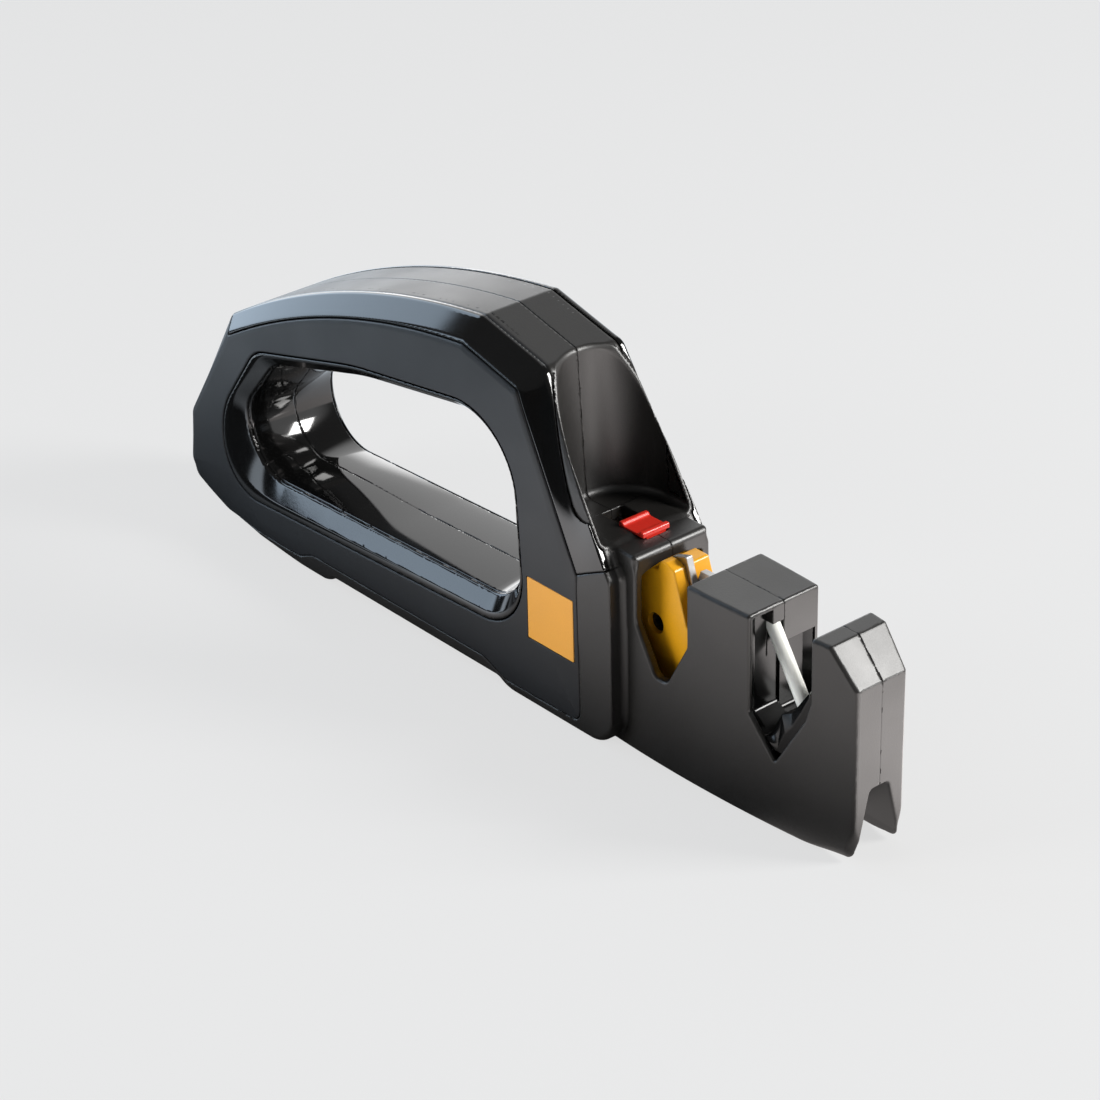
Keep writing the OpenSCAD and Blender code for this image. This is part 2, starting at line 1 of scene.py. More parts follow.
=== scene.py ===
# Looks of the knife and tool sharpener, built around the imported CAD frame.
# Each piece that shows is meshed from a signed distance field, so its edges are true fillets.
# The fields work in millimetres, Blender in metres. +X is the nose, +Z is up, and the right
# side, which the photo shows, is -Y. In a field, w is the distance from the middle plane.
import math

import bpy
import numpy as np
from mathutils import Matrix, Vector

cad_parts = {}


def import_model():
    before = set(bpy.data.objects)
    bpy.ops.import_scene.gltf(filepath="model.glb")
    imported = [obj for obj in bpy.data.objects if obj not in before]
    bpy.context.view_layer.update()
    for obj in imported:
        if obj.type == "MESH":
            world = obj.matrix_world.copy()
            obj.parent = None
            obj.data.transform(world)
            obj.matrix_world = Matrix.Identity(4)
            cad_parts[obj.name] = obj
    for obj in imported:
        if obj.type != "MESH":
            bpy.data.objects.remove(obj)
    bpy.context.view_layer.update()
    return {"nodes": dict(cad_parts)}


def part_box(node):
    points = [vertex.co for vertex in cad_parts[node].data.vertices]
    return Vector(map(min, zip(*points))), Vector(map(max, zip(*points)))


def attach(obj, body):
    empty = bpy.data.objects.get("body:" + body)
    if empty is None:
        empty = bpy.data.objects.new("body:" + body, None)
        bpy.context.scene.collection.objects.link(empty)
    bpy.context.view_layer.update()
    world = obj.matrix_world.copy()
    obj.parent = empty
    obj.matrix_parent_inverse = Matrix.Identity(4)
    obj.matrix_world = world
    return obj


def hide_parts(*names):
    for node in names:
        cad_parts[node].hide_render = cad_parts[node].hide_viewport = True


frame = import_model()
MM = 0.001


def node_mm(node):
    """Lowest and highest corner of a CAD node in millimetres."""
    low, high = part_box(node)
    return np.array(low) / MM, np.array(high) / MM


# Sizes read from the frame.
SIDE = -node_mm("right_grip_panel")[0][1]
TOP = node_mm("right_housing_half")[1][2]
NOSE_FRONT = node_mm("right_housing_half")[1][0]
REAR = node_mm("right_grip_panel")[0][0]

# Sizes that several pieces share.
GRIP = 11.0  # half width of the handle at its outline
FRONT = 45.2  # front of the handle
BLOCK_TOP = 48.5
SHOULDER_TOP = BLOCK_TOP - 0.2
TOOTH_TOP = 49.8
PIVOT_Z = 18.0
BAY = 8.6  # half width of the hollow that holds the carrier
PANEL_THICK = 2.4
TRIM_THICK = 1.6
SKIN_EDGE = 0.35  # edge radius of panel and trim
GAP = 0.16  # seam around a panel or trim
RIM = 0.9  # case left between the scoop and the trims
FIT = 0.05  # clearance around the rods and their holder
SPLIT = 0.03  # distance of each half of case and liner from the middle plane


# Outlines.
SHARP = 0.03  # least radius of a corner
STRAIGHT = math.radians(89.9)  # half angle from which a corner is none
FAR = 1e9
TINY = 1e-9


class Outline:
    """A closed outline of straight sides and tangent arcs, from corners [x, z, radius]."""

    def __init__(self, corners):
        pts = np.array([c[:2] for c in corners], float)
        nxt = np.roll(pts, -1, axis=0)
        self.turn = np.sign(np.sum(pts[:, 0] * nxt[:, 1] - pts[:, 1] * nxt[:, 0]))
        self.arcs, enter, leave = [], [], []
        for i, corner in enumerate(corners):
            b = pts[i]
            u = pts[i - 1] - b
            v = nxt[i] - b
            u = u / np.linalg.norm(u)
            v = v / np.linalg.norm(v)
            half_angle = math.acos(max(-1.0, min(1.0, float(u @ v)))) / 2
            r = max(corner[2], SHARP)
            if half_angle > STRAIGHT:
                enter.append(b)
                leave.append(b)
                continue
            mid = b + (u + v) / np.linalg.norm(u + v) * r / math.sin(half_angle)
            reach = r / math.tan(half_angle)
            way = float(np.sign(v[0] * u[1] - v[1] * u[0]))
            self.arcs.append((mid, r, b + u * reach - mid, b + v * reach - mid, way))
            enter.append(b + u * reach)
            leave.append(b + v * reach)
        self.lines = [(leave[i - 1], enter[i]) for i in range(len(corners))]
        self.last = (None, None, None)

    def __call__(self, x, z):
        """Signed distance in the plane, negative inside. The last answer is kept."""
        if self.last[0] is not x or self.last[1] is not z:
            self.last = (x, z, self.distance(x, z))
        return self.last[2]

    def distance(self, x, z):
        best = np.full(np.broadcast(x, z).shape, FAR, x.dtype)
        for a, b in self.lines:
            ex, ez = b - a
            length2 = ex * ex + ez * ez
            if length2 < TINY:
                continue
            px, pz = x - a[0], z - a[1]
            t = np.clip((px * ex + pz * ez) / length2, 0, 1)
            dist = np.hypot(px - t * ex, pz - t * ez)
            side = np.where((ex * pz - ez * px) * self.turn > 0, -1.0, 1.0)
            best = np.where(dist < np.abs(best), side * dist, best)
        for mid, r, first, last, way in self.arcs:
            px, pz = x - mid[0], z - mid[1]
            within = ((first[0] * pz - first[1] * px) * way >= 0) & (
                (px * last[1] - pz * last[0]) * way >= 0
            )
            dist = (np.hypot(px, pz) - r) * (1 if way == self.turn else -1)
            best = np.where(within & (np.abs(dist) < np.abs(best)), dist, best)
        return best


def moved(corners, grow):
    """Every side of a convex corner list moved outwards by grow."""
    out = []
    for i, c in enumerate(corners):
        a = np.array(corners[i - 1][:2], float)
        b = np.array(c[:2], float)
        d = np.array(corners[(i + 1) % len(corners)][:2], float)
        u = (a - b) / np.linalg.norm(a - b)
        v = (d - b) / np.linalg.norm(d - b)
        half_angle = math.acos(float(u @ v)) / 2
        q = b - (u + v) / np.linalg.norm(u + v) * grow / math.sin(half_angle)
        out.append([q[0], q[1], c[2] + grow])
    return out


ARC_SHARE = 0.985  # leaves a bowed side's arc a short straight at each end


def bowed(a, b, rise):
    """The corner that joins a and b by one shallow arc with that rise."""
    a, b = np.array(a, float), np.array(b, float)
    d = b - a
    span = np.linalg.norm(d)
    normal = np.array([-d[1], d[0]]) / span
    radius = span * span / (8 * rise)
    tip = (a + b) / 2 + normal * 2 * rise
    return [tip[0], tip[1], radius * ARC_SHARE]


# Joins of distances.
def cut_off(a, b, r):
    """Both a and b, with the edge between them rounded to radius r."""
    return np.minimum(np.maximum(a, b), -r) + np.hypot(
        np.maximum(a + r, 0), np.maximum(b + r, 0)
    )


def joined(a, b, r):
    """a or b, with the inner corner between them filled to radius r."""
    return np.maximum(np.minimum(a, b), r) - np.hypot(
        np.maximum(r - a, 0), np.maximum(r - b, 0)
    )


def without(a, b, r):
    """a less b, with the new edge rounded to radius r."""
    return cut_off(a, -b, r)


def slab(v, low, high):
    """The layer from low to high."""
    return np.maximum(low - v, v - high)


def block(x, w, z, reach, half_width, height):
    """A box across the middle plane, from its ranges in x and z."""
    return np.maximum(np.maximum(slab(x, *reach), w - half_width), slab(z, *height))


def step(v, low, high):
    """0 below low and 1 above high, with a smooth rise between."""
    t = np.clip((v - low) / (high - low), 0, 1)
    return t * t * (3 - 2 * t)


def turned(x, y, mid):
    """Half a turn about an upright axis in the middle of a slot, for its other side."""
    return 2 * mid - x, -y


# Handle body: its outline on the middle plane, and the outline of its flat side.
crown_a, crown_b = [-94, 56.6], [0, TOP]
face_a, face_b = [-91.2, 53], [-1.9, 81.9]
crown_bow = bowed(crown_a, crown_b, 5.2)
face_bow = bowed(face_a, face_b, 4.9)
OUTER = Outline([
    [REAR, 13.4, 2], [REAR + 0.6, 27, 6], crown_a + [2.5], crown_bow, crown_b + [2.5],
    [21.3, 82.7, 3.5], [FRONT - 0.2, 41.8, 3], [FRONT, 30, 20], [FRONT, 0, 7], [-68, 0, 2],
    [-84, 0.7, 6], [-98.5, 2.4, 8], [REAR + 1.2, 8.2, 3],
])
FACE = Outline([
    [-109.8, 12.6, 1], [-108.6, 26.8, 4], face_a + [2], face_bow, face_b + [3],
    [16.6, 77.2, 1.5], [17.9, 73.4, 1.5], [33.6, 42.4, 2], [36.4, 37, 4], [36.4, 4, 2],
    [34, 2.6, 3], [-66, 2.6, 3], [-84, 4, 3], [-93.8, 11.3, 2],
])
FRONT_FLARE, FRONT_FLARE_X = 3.6, (17, 46)
FOOT_HALF, FOOT_FLARE, FOOT_FLARE_X = 13.3, 1.3, (-98, -62)
FOOT_TO_GRIP_Z = (13, 27)
OUTLINE_EDGE = 0.5
FOOT_EDGE, FOOT_EDGE_Z = 1.2, (-7, -2)
SIDE_EDGE = 0.9


def edge_half(x, z):
    """Half width of the body where it meets its outer outline."""
    high = GRIP + FRONT_FLARE * step(x, *FRONT_FLARE_X)
    low = FOOT_HALF + FOOT_FLARE * step(x, *FOOT_FLARE_X)
    t = step(z, *FOOT_TO_GRIP_Z)
    return low + (high - low) * t


def handle(x, y, z):
    """The handle's solid form, bevelled from its outline to its flat sides."""
    w = np.abs(y)
    a, b = OUTER(x, z), FACE(x, z)
    h = edge_half(x, z)
    slope = (b - a) / (SIDE - h)
    bevel = (a + slope * (w - h)) / np.sqrt(1 + slope * slope)
    edge = OUTLINE_EDGE + FOOT_EDGE * step(-z, *FOOT_EDGE_Z)
    return cut_off(cut_off(a, bevel, edge), w - SIDE, SIDE_EDGE)


# The side panel's outline, which wraps the rear edge. The trim lies outside it, in front.
PANEL = Outline([
    [-125, 6.6, 0], [-98, 2.6, 0], [-67.4, 3.0, 3], [-62, 5.3, 3], [1.9, 5.6, 4],
    [9.5, 2.6, 4], [35.2, 3.0, 2.6], [34.7, 39.6, 1.5], [17.7, 73.8, 1], [16.3, 77.3, 1],
    face_b + [2.5], face_bow, face_a + [0.5], [-99, 63, 0], [-125, 63, 0],
])
UNDER_TRIM = Outline([
    [-130, -5, 0], [60, -5, 0], [60, 51.9, 0], [34.8, 39.9, 0], [-130, 39.9, 0],
])
PANEL_IN = GRIP - 2  # half widths at which panel and trim begin
TRIM_IN = 8.0

# The loop: where its flared lip meets the side, its narrower edge further in, and the liner.
LINER_THICK = 1.5
LIP_DEEP, LIP_PROUD, LIP_EDGE = 2.1, 0.6, 0.35
SEAT_BEHIND = 0.4  # how far behind the panel the liner's wide rim sits
EDGE_CORNERS = [
    [-76, 50.2, 11], [-88, 36, 9], [-87.7, 18.5, 13.5], [15, 22.6, 12], [12.5, 67.9, 16],
    [-40, 60, 90],
]
LIP = Outline([
    [-80.5, 52.6, 11], [-96, 31.5, 21], [-95.2, 11.1, 12.5], [17.3, 16.8, 15],
    [14, 70.6, 18.5], [-42, 62.6, 100],
])
EDGE = Outline(EDGE_CORNERS)
SEAT = Outline(moved(EDGE_CORNERS, LINER_THICK))
LIP_IN = SIDE - LIP_DEEP
LIP_RUN = SIDE + LIP_PROUD - LIP_IN
SEAT_IN = SIDE - PANEL_THICK - SEAT_BEHIND
CROWN, CROWN_REAR, CROWN_REAR_X = 1, 0.8, (35, 65)


def panel_zone(x, y, z, gap):
    """Room of the side panel: a layer under the handle's surface."""
    w = np.abs(y)
    zone = np.maximum(PANEL(x, z), -LIP(x, z)) + gap
    zone = np.maximum(zone, PANEL_IN + gap - w)
    return np.maximum(zone, -handle(x, w + PANEL_THICK, z) + gap)


def trim_zone(x, y, z, gap):
    """Room of the gloss trim: a layer over the top and down the slanted front."""
    w = np.abs(y)
    zone = np.maximum(-PANEL(x, z), -UNDER_TRIM(x, z)) + gap
    zone = np.maximum(zone, TRIM_IN + gap - w)
    return np.maximum(zone, -handle(x, w + TRIM_THICK, z) + gap)


def loop_seat(x, y, z):
    """What the loop liner takes out of the case, its own opening included."""
    w = np.abs(y)
    inner = np.maximum(SEAT(x, z), w - SEAT_IN)
    return np.minimum(inner, np.maximum(LIP(x, z), SEAT_IN - w))


def loop_void(x, y, z):
    """Opening through the loop: crowned in the middle, flared at the lips."""
    w = np.abs(y)
    rise = CROWN + CROWN_REAR * step(-x, *CROWN_REAR_X)
    tube = EDGE(x, z) + rise * (1 - np.clip(w / LIP_IN, 0, 1) ** 2)
    t = (w - LIP_IN) / LIP_RUN
    spread = LIP(x, z) - EDGE(x, z)
    slope = spread / LIP_RUN
    flare = (EDGE(x, z) + spread * t) / np.sqrt(1 + slope * slope)
    return joined(tube, np.maximum(flare, LIP_IN - 1 - w), LIP_EDGE)


# Nose: its side view, the two slots across it, and the notch through its toe.
NOSE_REAR, NOSE_LOW, FACET_LOW = 30, 0.3, 41.7
TOOTH_REAR, TOOTH_FRONT, BLOCK_REAR = 92.6, 105, 57
NOSE_HALF, NOSE_WIDEST, NOSE_CURVE = 10.8, 60, 365.0
NOSE_EDGE, TOE_EDGE = 0.8, 1.9
TOE_EDGE_X, TOE_EDGE_Z = (98, 109), (-9, -3)
NOSE = Outline([
    [NOSE_REAR, NOSE_LOW, 0], [NOSE_FRONT, NOSE_LOW, 2.6], [NOSE_FRONT, FACET_LOW, 0.8],
    [TOOTH_FRONT, TOOTH_TOP, 0.8], [TOOTH_REAR, TOOTH_TOP, 0], [TOOTH_REAR, BLOCK_TOP, 0],
    [BLOCK_REAR, BLOCK_TOP, 0], [BLOCK_REAR, SHOULDER_TOP, 0], [NOSE_REAR, SHOULDER_TOP, 0],
])
SLOT_A = Outline([
    [49.1, 80, 0], [49.1, 32.6, 4], [55.2, 21.9, 2.4], [58.9, 21.9, 2.4], [65.2, 33.4, 2],
    [65.2, 80, 0],
])
SLOT_B = Outline([
    [83.5, 80, 0], [83.5, 25.7, 0.5], [90.8, 16.6, 0.4], [98.6, 29.6, 2], [100.1, 34.6, 4],
    [100.1, 80, 0],
])
NOTCH = Outline([
    [-6.6, -1, 0], [-5.9, 3, 0], [-2.6, 16.8, 1.2], [2.6, 16.8, 1.2], [5.9, 3, 0],
    [6.6, -1, 0],
])
NOTCH_REAR = 97
SLOT_A_MID = 57.15
SLOT_B_MID = 91.8


def nose_walls(x, y):
    """The nose's two bowed sides."""
    return np.hypot(x - NOSE_WIDEST, np.abs(y) + NOSE_CURVE - NOSE_HALF) - NOSE_CURVE


def nose(x, y, z):
    edge = NOSE_EDGE + TOE_EDGE * step(x, *TOE_EDGE_X) * step(-z, *TOE_EDGE_Z)
    body = cut_off(NOSE(x, z), nose_walls(x, y), edge)
    return np.maximum(body, NOSE_REAR - x)


# The scoop, a leaning round hollow in the front of the handle, over the shoulder.
SCOOP_LEAN = math.radians(3.7)
SCOOP_X, SCOOP_R, SCOOP_EDGE = 34, 12.6, 1.6


def scoop(x, y, z):
    ax = (x - SCOOP_X) * math.cos(SCOOP_LEAN) + (z - SHOULDER_TOP) * math.sin(SCOOP_LEAN)
    ring = np.hypot(np.minimum(ax, 0), y) - SCOOP_R
    return cut_off(ring, SHOULDER_TOP - z, SCOOP_EDGE)


# Hollows for the carrier and the slider.
CARRIER_BAY_X, CARRIER_BAY_TOP, BAY_FLOOR = (30, 66.2), 44.8, 6
BAY_ARCH_EDGE = 0.5
SLIDER_SLOT_X, SLIDER_SLOT_HALF, SLIDER_SLOT_LOW = (29.4, 44.3), 3.1, 44.6
SLIDER_SLOT_CORNER = 0.6
SLIDER_BAY_X, SLIDER_BAY_Z = (28.6, 45), (30, SHOULDER_TOP - 2.7)


def carrier_bay(x, y, z):
    w = np.abs(y)
    arch = np.hypot(y, z - PIVOT_Z) - (CARRIER_BAY_TOP - PIVOT_Z)
    box = np.maximum(w - BAY, slab(x, *CARRIER_BAY_X))
    arch = cut_off(arch, w - BAY, BAY_ARCH_EDGE)
    return np.maximum(np.maximum(arch, box), BAY_FLOOR - z)


def slider_room(x, y, z):
    """The slider's slot through the shoulder, and the wider bay under it."""
    w = np.abs(y)
    hole = cut_off(slab(x, *SLIDER_SLOT_X), w - SLIDER_SLOT_HALF, SLIDER_SLOT_CORNER)
    hole = np.maximum(hole, SLIDER_SLOT_LOW - z)
    return np.minimum(hole, block(x, w, z, SLIDER_BAY_X, BAY, SLIDER_BAY_Z))


# Rod holder, which fills the second slot, and its two crossed rods. Each half of the holder
# has a blade guide, and the second half is the first one turned about the slot's middle.
HOLDER_REAR, HOLDER_FRONT = 79.5, 104.2
HOLDER_LOW, TURNED_LOW = 18.6, 22
HOLDER_FAR_TOP = 38.7  # top of each end on the other side of the middle plane
HOLDER_TAB, TAB_DROP = 3.3, 4.5
SKIN = 1.1  # case wall left around the holder
HOLDER_FOOT = Outline([
    [HOLDER_REAR, HOLDER_LOW + 0.6, 0], [90.5, HOLDER_LOW, 0], [96, HOLDER_LOW, 0],
    [HOLDER_FRONT, 26, 0], [HOLDER_FRONT, 36, 0], [HOLDER_REAR, 36, 0],
])
GUIDE = Outline([
    [81.7, 80, 0], [81.7, 24, 1], [86.6, 20.3, 0.5], [89.9, 26.6, 0.5], [92.9, 28.2, 0.5],
    [100.1, 38.4, 0], [100.1, 80, 0],
])
TURNED_GUIDE = Outline([
    [82.3, 80, 0], [82.3, 31, 1], [87.5, 22, 1], [101.3, 22, 1], [101.3, 80, 0],
])
GUIDE_FLARE_IN, GUIDE_FLARE_RUN = 6.6, 2.8
GUIDE_INSET = 0.3  # how far the guide stands inside the slot at the wall
HOLDER_EDGE = 0.25
ROD_R, ROD_END_EDGE = 1.6, 0.25
ROD_OFF = 0.1  # the rod's distance from the middle plane
ROD_CROSS = 27.5  # height where the rods cross
ROD_LEAN = math.radians(32.6)
ROD_LOW, ROD_HIGH = -8, 19.5  # ends along the rod, from the crossing


def holder_room(x, y, z, gap):
    """Space of the rod holder: high beside each rod, lower elsewhere."""

    def end(x, y, low):
        beside = np.maximum(y + HOLDER_TAB, z - BLOCK_TOP + SKIN)
        tab = np.maximum(slab(y, -HOLDER_TAB, 0), z - BLOCK_TOP + TAB_DROP)
        far = np.maximum(-y, z - HOLDER_FAR_TOP)
        top = np.minimum(np.minimum(beside, tab), far)
        return np.maximum(np.maximum(top, low - z), slab(x, HOLDER_REAR, SLOT_B_MID))

    ends = np.minimum(end(x, y, HOLDER_LOW), end(*turned(x, y, SLOT_B_MID), TURNED_LOW))
    room = np.minimum(ends, HOLDER_FOOT(x, z))
    return np.maximum(np.maximum(nose_walls(x, y) + SKIN, room), HOLDER_LOW - z) - gap


def guide_void(line, x, y, z):
    """Blade guide of one half: straight inside, drawn to the slot's outline at the wall."""
    inner = line(x, z)
    flare = np.clip((-y - GUIDE_FLARE_IN) / GUIDE_FLARE_RUN, 0, 1)
    wide = inner + (SLOT_B(x, z) - GUIDE_INSET - inner) * flare
    return np.maximum(wide, y)


def rod(x, y, z, grow=0.0):
    """The rear rod, grown all round."""
    cos, sin = math.cos(ROD_LEAN), math.sin(ROD_LEAN)
    along = (z - ROD_CROSS) * cos - (x - SLOT_B_MID) * sin
    across = (z - ROD_CROSS) * sin + (x - SLOT_B_MID) * cos
    tube = np.hypot(across, y + ROD_R + ROD_OFF) - ROD_R - grow
    return cut_off(tube, slab(along, ROD_LOW - grow, ROD_HIGH + grow), ROD_END_EDGE)


def turned_rod(x, y, z, grow=0.0):
    """The front rod."""
    return rod(*turned(x, y, SLOT_B_MID), z, grow)


def less_rods(body, x, y, z):
    """A body with the holes that both rods sit in."""
    return np.maximum(body, -np.minimum(rod(x, y, z, FIT), turned_rod(x, y, z, FIT)))


def holder(x, y, z):
    turned_void = guide_void(TURNED_GUIDE, *turned(x, y, SLOT_B_MID), z)
    voids = np.minimum(guide_void(GUIDE, x, y, z), turned_void)
    return less_rods(without(holder_room(x, y, z, 0), voids, HOLDER_EDGE), x, y, z)


# The case: handle and nose, less all that sits in them or passes through.
FOOT_GAP = Outline([[-59.5, -1.5, 0], [-54, 2.2, 3], [6.5, 2.2, 3], [13, -1.5, 0]])
FOOT_GAP_EDGE = 1.2
SEAM_EDGE = 0.2  # small radius where case, panels and trims meet
SEAT_EDGE = 0.1
SLOT_EDGE, NOTCH_EDGE = 0.6, 0.5
SLIDER_ROOM_EDGE, BAY_EDGE = 0.3, 0.4

# Edge radii that grow: the scoop's rim towards the middle, the first slot's at the top of its
# rear side, and the fillet between handle and nose above the foot.
RIM_EDGE, RIM_EDGE_MORE, RIM_EDGE_W = 0.35, 0.55, (-9.5, -7)
SLOT_EDGE_MORE, SLOT_EDGE_X, SLOT_EDGE_Z = 0.8, (-55, -51), (44, 47)
NOSE_FILLET, NOSE_FILLET_MORE, NOSE_FILLET_Z = 0.2, 1.2, (1.5, 9)


def case(x, y, z):
    scoop_edge = RIM_EDGE + RIM_EDGE_MORE * step(-np.abs(y), *RIM_EDGE_W)
    slot_edge = SLOT_EDGE + SLOT_EDGE_MORE * step(-x, *SLOT_EDGE_X) * step(z, *SLOT_EDGE_Z)
    fillet = NOSE_FILLET + NOSE_FILLET_MORE * step(z, *NOSE_FILLET_Z)
    body = without(handle(x, y, z), scoop(x, y, z), scoop_edge)
    body = without(body, FOOT_GAP(x, z), FOOT_GAP_EDGE)
    body = without(body, panel_zone(x, y, z, 0), SEAM_EDGE)
    trims = np.maximum(trim_zone(x, y, z, 0), RIM - scoop(x, y, z))
    body = without(body, trims, SEAM_EDGE)
    body = without(body, loop_seat(x, y, z), SEAT_EDGE)
    snout = without(nose(x, y, z), SLOT_A(x, z), slot_edge)
    snout = without(snout, SLOT_B(x, z), SLOT_EDGE)
    snout = without(snout, np.maximum(NOTCH(y, z), NOTCH_REAR - x), NOTCH_EDGE)
    body = joined(body, snout, fillet)
    body = without(body, slider_room(x, y, z), SLIDER_ROOM_EDGE)
    body = without(body, carrier_bay(x, y, z), BAY_EDGE)
    body = np.maximum(body, -holder_room(x, y, z, FIT))
    return less_rods(body, x, y, z)


# Meshing.
GRID_MARGIN = 1.5  # room around a piece, in cells
SLOPE_STEP = 0.01  # distance over which a field's slope is taken
LEAST_SLOPE2 = 0.2  # least square of a slope that settle divides by
MEAN_HOLD = 0.03  # pull of a cell's mean point against its tangent planes
CORNER_REACH = 0.7  # how far a vertex may go from that point, in cells
SETTLE_REACH = 0.4  # how far a round of settle may move a vertex, in cells
WIDE_FACE = 1.5  # area, in square cells, from which a face counts as wide
WIDE_ANGLE = math.radians(9)


def surface(field, low, high, cell):
    """Vertices and quads on the zero level of a field, by surface nets."""
    below, above = GRID_MARGIN * cell, (GRID_MARGIN + 1) * cell
    axes = [np.arange(l - below, h + above, cell) for l, h in zip(low, high)]
    grid = [a.astype(np.float32) for a in axes]
    x, y, z = np.meshgrid(*grid, indexing="ij", sparse=True)
    shape = tuple(len(a) for a in axes)
    f = np.broadcast_to(field(x, y, z), shape)
    strides = np.array([shape[1] * shape[2], shape[2], 1])
    ring = np.array([[0, 0], [1, 0], [1, 1], [0, 1]])
    owners, spots = [], []
    for k in range(3):
        one = [slice(None)] * 3
        two = [slice(None)] * 3
        one[k], two[k] = slice(0, -1), slice(1, None)
        fa, fb = f[tuple(one)], f[tuple(two)]
        hit = np.argwhere((fa < 0) != (fb < 0))
        va, vb = fa[tuple(hit.T)].astype(float), fb[tuple(hit.T)].astype(float)
        point = np.stack([axes[i][hit[:, i]] for i in range(3)], 1)
        point[:, k] += cell * va / (va - vb)
        p, q = (k + 1) % 3, (k + 2) % 3
        base = hit @ strides
        quad = np.stack([base - a * strides[p] - b * strides[q] for a, b in ring], 1)
        quad[va > 0] = quad[va > 0][:, ::-1]
        owners.append(quad)
        spots.append(point)
    quads, points = np.concatenate(owners), np.concatenate(spots)
    index = np.unique(quads.ravel(), return_inverse=True)[1]
    return cell_vertices(field, points, index, cell), index.reshape(-1, 4)


def cell_vertices(field, points, index, cell):
    """One vertex per cell, where the tangent planes of its crossings meet."""
    n = slope_of(field, points)[1]
    n /= np.maximum(np.linalg.norm(n, axis=1, keepdims=True), TINY)
    reach = (n * points).sum(1)

    def total(values):
        return np.bincount(index, np.repeat(values, 4))

    count = total(np.ones(len(points)))
    mean = np.stack([total(points[:, i]) / count for i in range(3)], 1)
    grip = np.empty((len(mean), 3, 3))
    pull = np.empty((len(mean), 3))
    for i in range(3):
        pull[:, i] = total(n[:, i] * reach)
        for j in range(3):
            grip[:, i, j] = total(n[:, i] * n[:, j])
    hold = MEAN_HOLD * count
    grip[:, range(3), range(3)] += hold[:, None]
    verts = np.linalg.solve(grip, (pull + hold[:, None] * mean)[:, :, None])[:, :, 0]
    return mean + np.clip(verts - mean, -CORNER_REACH * cell, CORNER_REACH * cell)


def slope_of(field, p):
    """The field and its slope at each point."""
    x, y, z = (np.ascontiguousarray(c) for c in p.T)
    h = SLOPE_STEP
    f = field(x, y, z)
    # y is stepped first, because an outline keeps its last answer for the same x and z.
    dy = field(x, y + h, z) - f
    dx = field(x + h, y, z) - f
    dz = field(x, y, z + h) - f
    return f, np.stack([dx, dy, dz], 1) / h


def settle(field, verts, reach, rounds=2):
    """Moves the vertices on to the zero level and gives their normals."""
    for _ in range(rounds):
        f, g = slope_of(field, verts)
        away = np.clip(f / np.maximum((g * g).sum(1), LEAST_SLOPE2), -reach, reach)
        verts = verts - g * away[:, None]
    return verts, g / np.maximum(np.linalg.norm(g, axis=1, keepdims=True), TINY)


def piece(name, field, low, high, cell, keep):
    """A mesh object from a field, thinned to a share of its faces, with the field's normals."""
    verts, quads = surface(field, low, high, cell)
    mesh = bpy.data.meshes.new(name)
    mesh.from_pydata((verts * MM).tolist(), [], quads.tolist())
    obj = bpy.data.objects.new(name, mesh)
    bpy.context.scene.collection.objects.link(obj)
    thin = obj.modifiers.new("thin", "DECIMATE")
    thin.ratio = keep
    graph = bpy.context.evaluated_depsgraph_get()
    mesh = bpy.data.meshes.new_from_object(obj.evaluated_get(graph))
    obj.modifiers.remove(thin)
    obj.data = mesh
    smooth(obj.data, field, cell)
    return obj


def read(items, what, width, kind):
    """One property of all of a mesh's vertices, loops or faces."""
    values = np.empty(len(items) * width, kind)
    items.foreach_get(what, values)
    return values


def smooth(mesh, field, cell):
    """Seats the vertices on the field and takes their normals from it."""
    co = read(mesh.vertices, "co", 3, np.float32)
    reach = cell * SETTLE_REACH
    verts, normals = settle(field, co.reshape(-1, 3).astype(float) / MM, reach)
    mesh.vertices.foreach_set("co", (verts * MM).astype(np.float32).ravel())
    mesh.update()
    count = len(mesh.polygons)
    face = np.repeat(np.arange(count), read(mesh.polygons, "loop_total", 1, np.int32))
    area = read(mesh.polygons, "area", 1, np.float32)[face]
    flat = read(mesh.polygons, "normal", 3, np.float32).reshape(-1, 3)[face]
    corner = normals[read(mesh.loops, "vertex_index", 1, np.int32)]
    # A wide flat face keeps its own normal beside a fillet.
    wide = area > WIDE_FACE * (cell * MM) ** 2
    off = (corner * flat).sum(1) < math.cos(WIDE_ANGLE)
    corner[wide & off] = flat[wide & off]
    mesh.polygons.foreach_set("use_smooth", np.ones(count, bool))
    mesh.normals_split_custom_set(corner.tolist())


def half(field, sign, r):
    """One side of a field, cut just off the middle plane with a small edge."""
    return lambda x, y, z: cut_off(field(x, y, z), SPLIT - sign * y, r)


def side(field, sign):
    """A field that holds on one side of the tool only."""
    return lambda x, y, z: np.maximum(field(x, y, z), -sign * y)


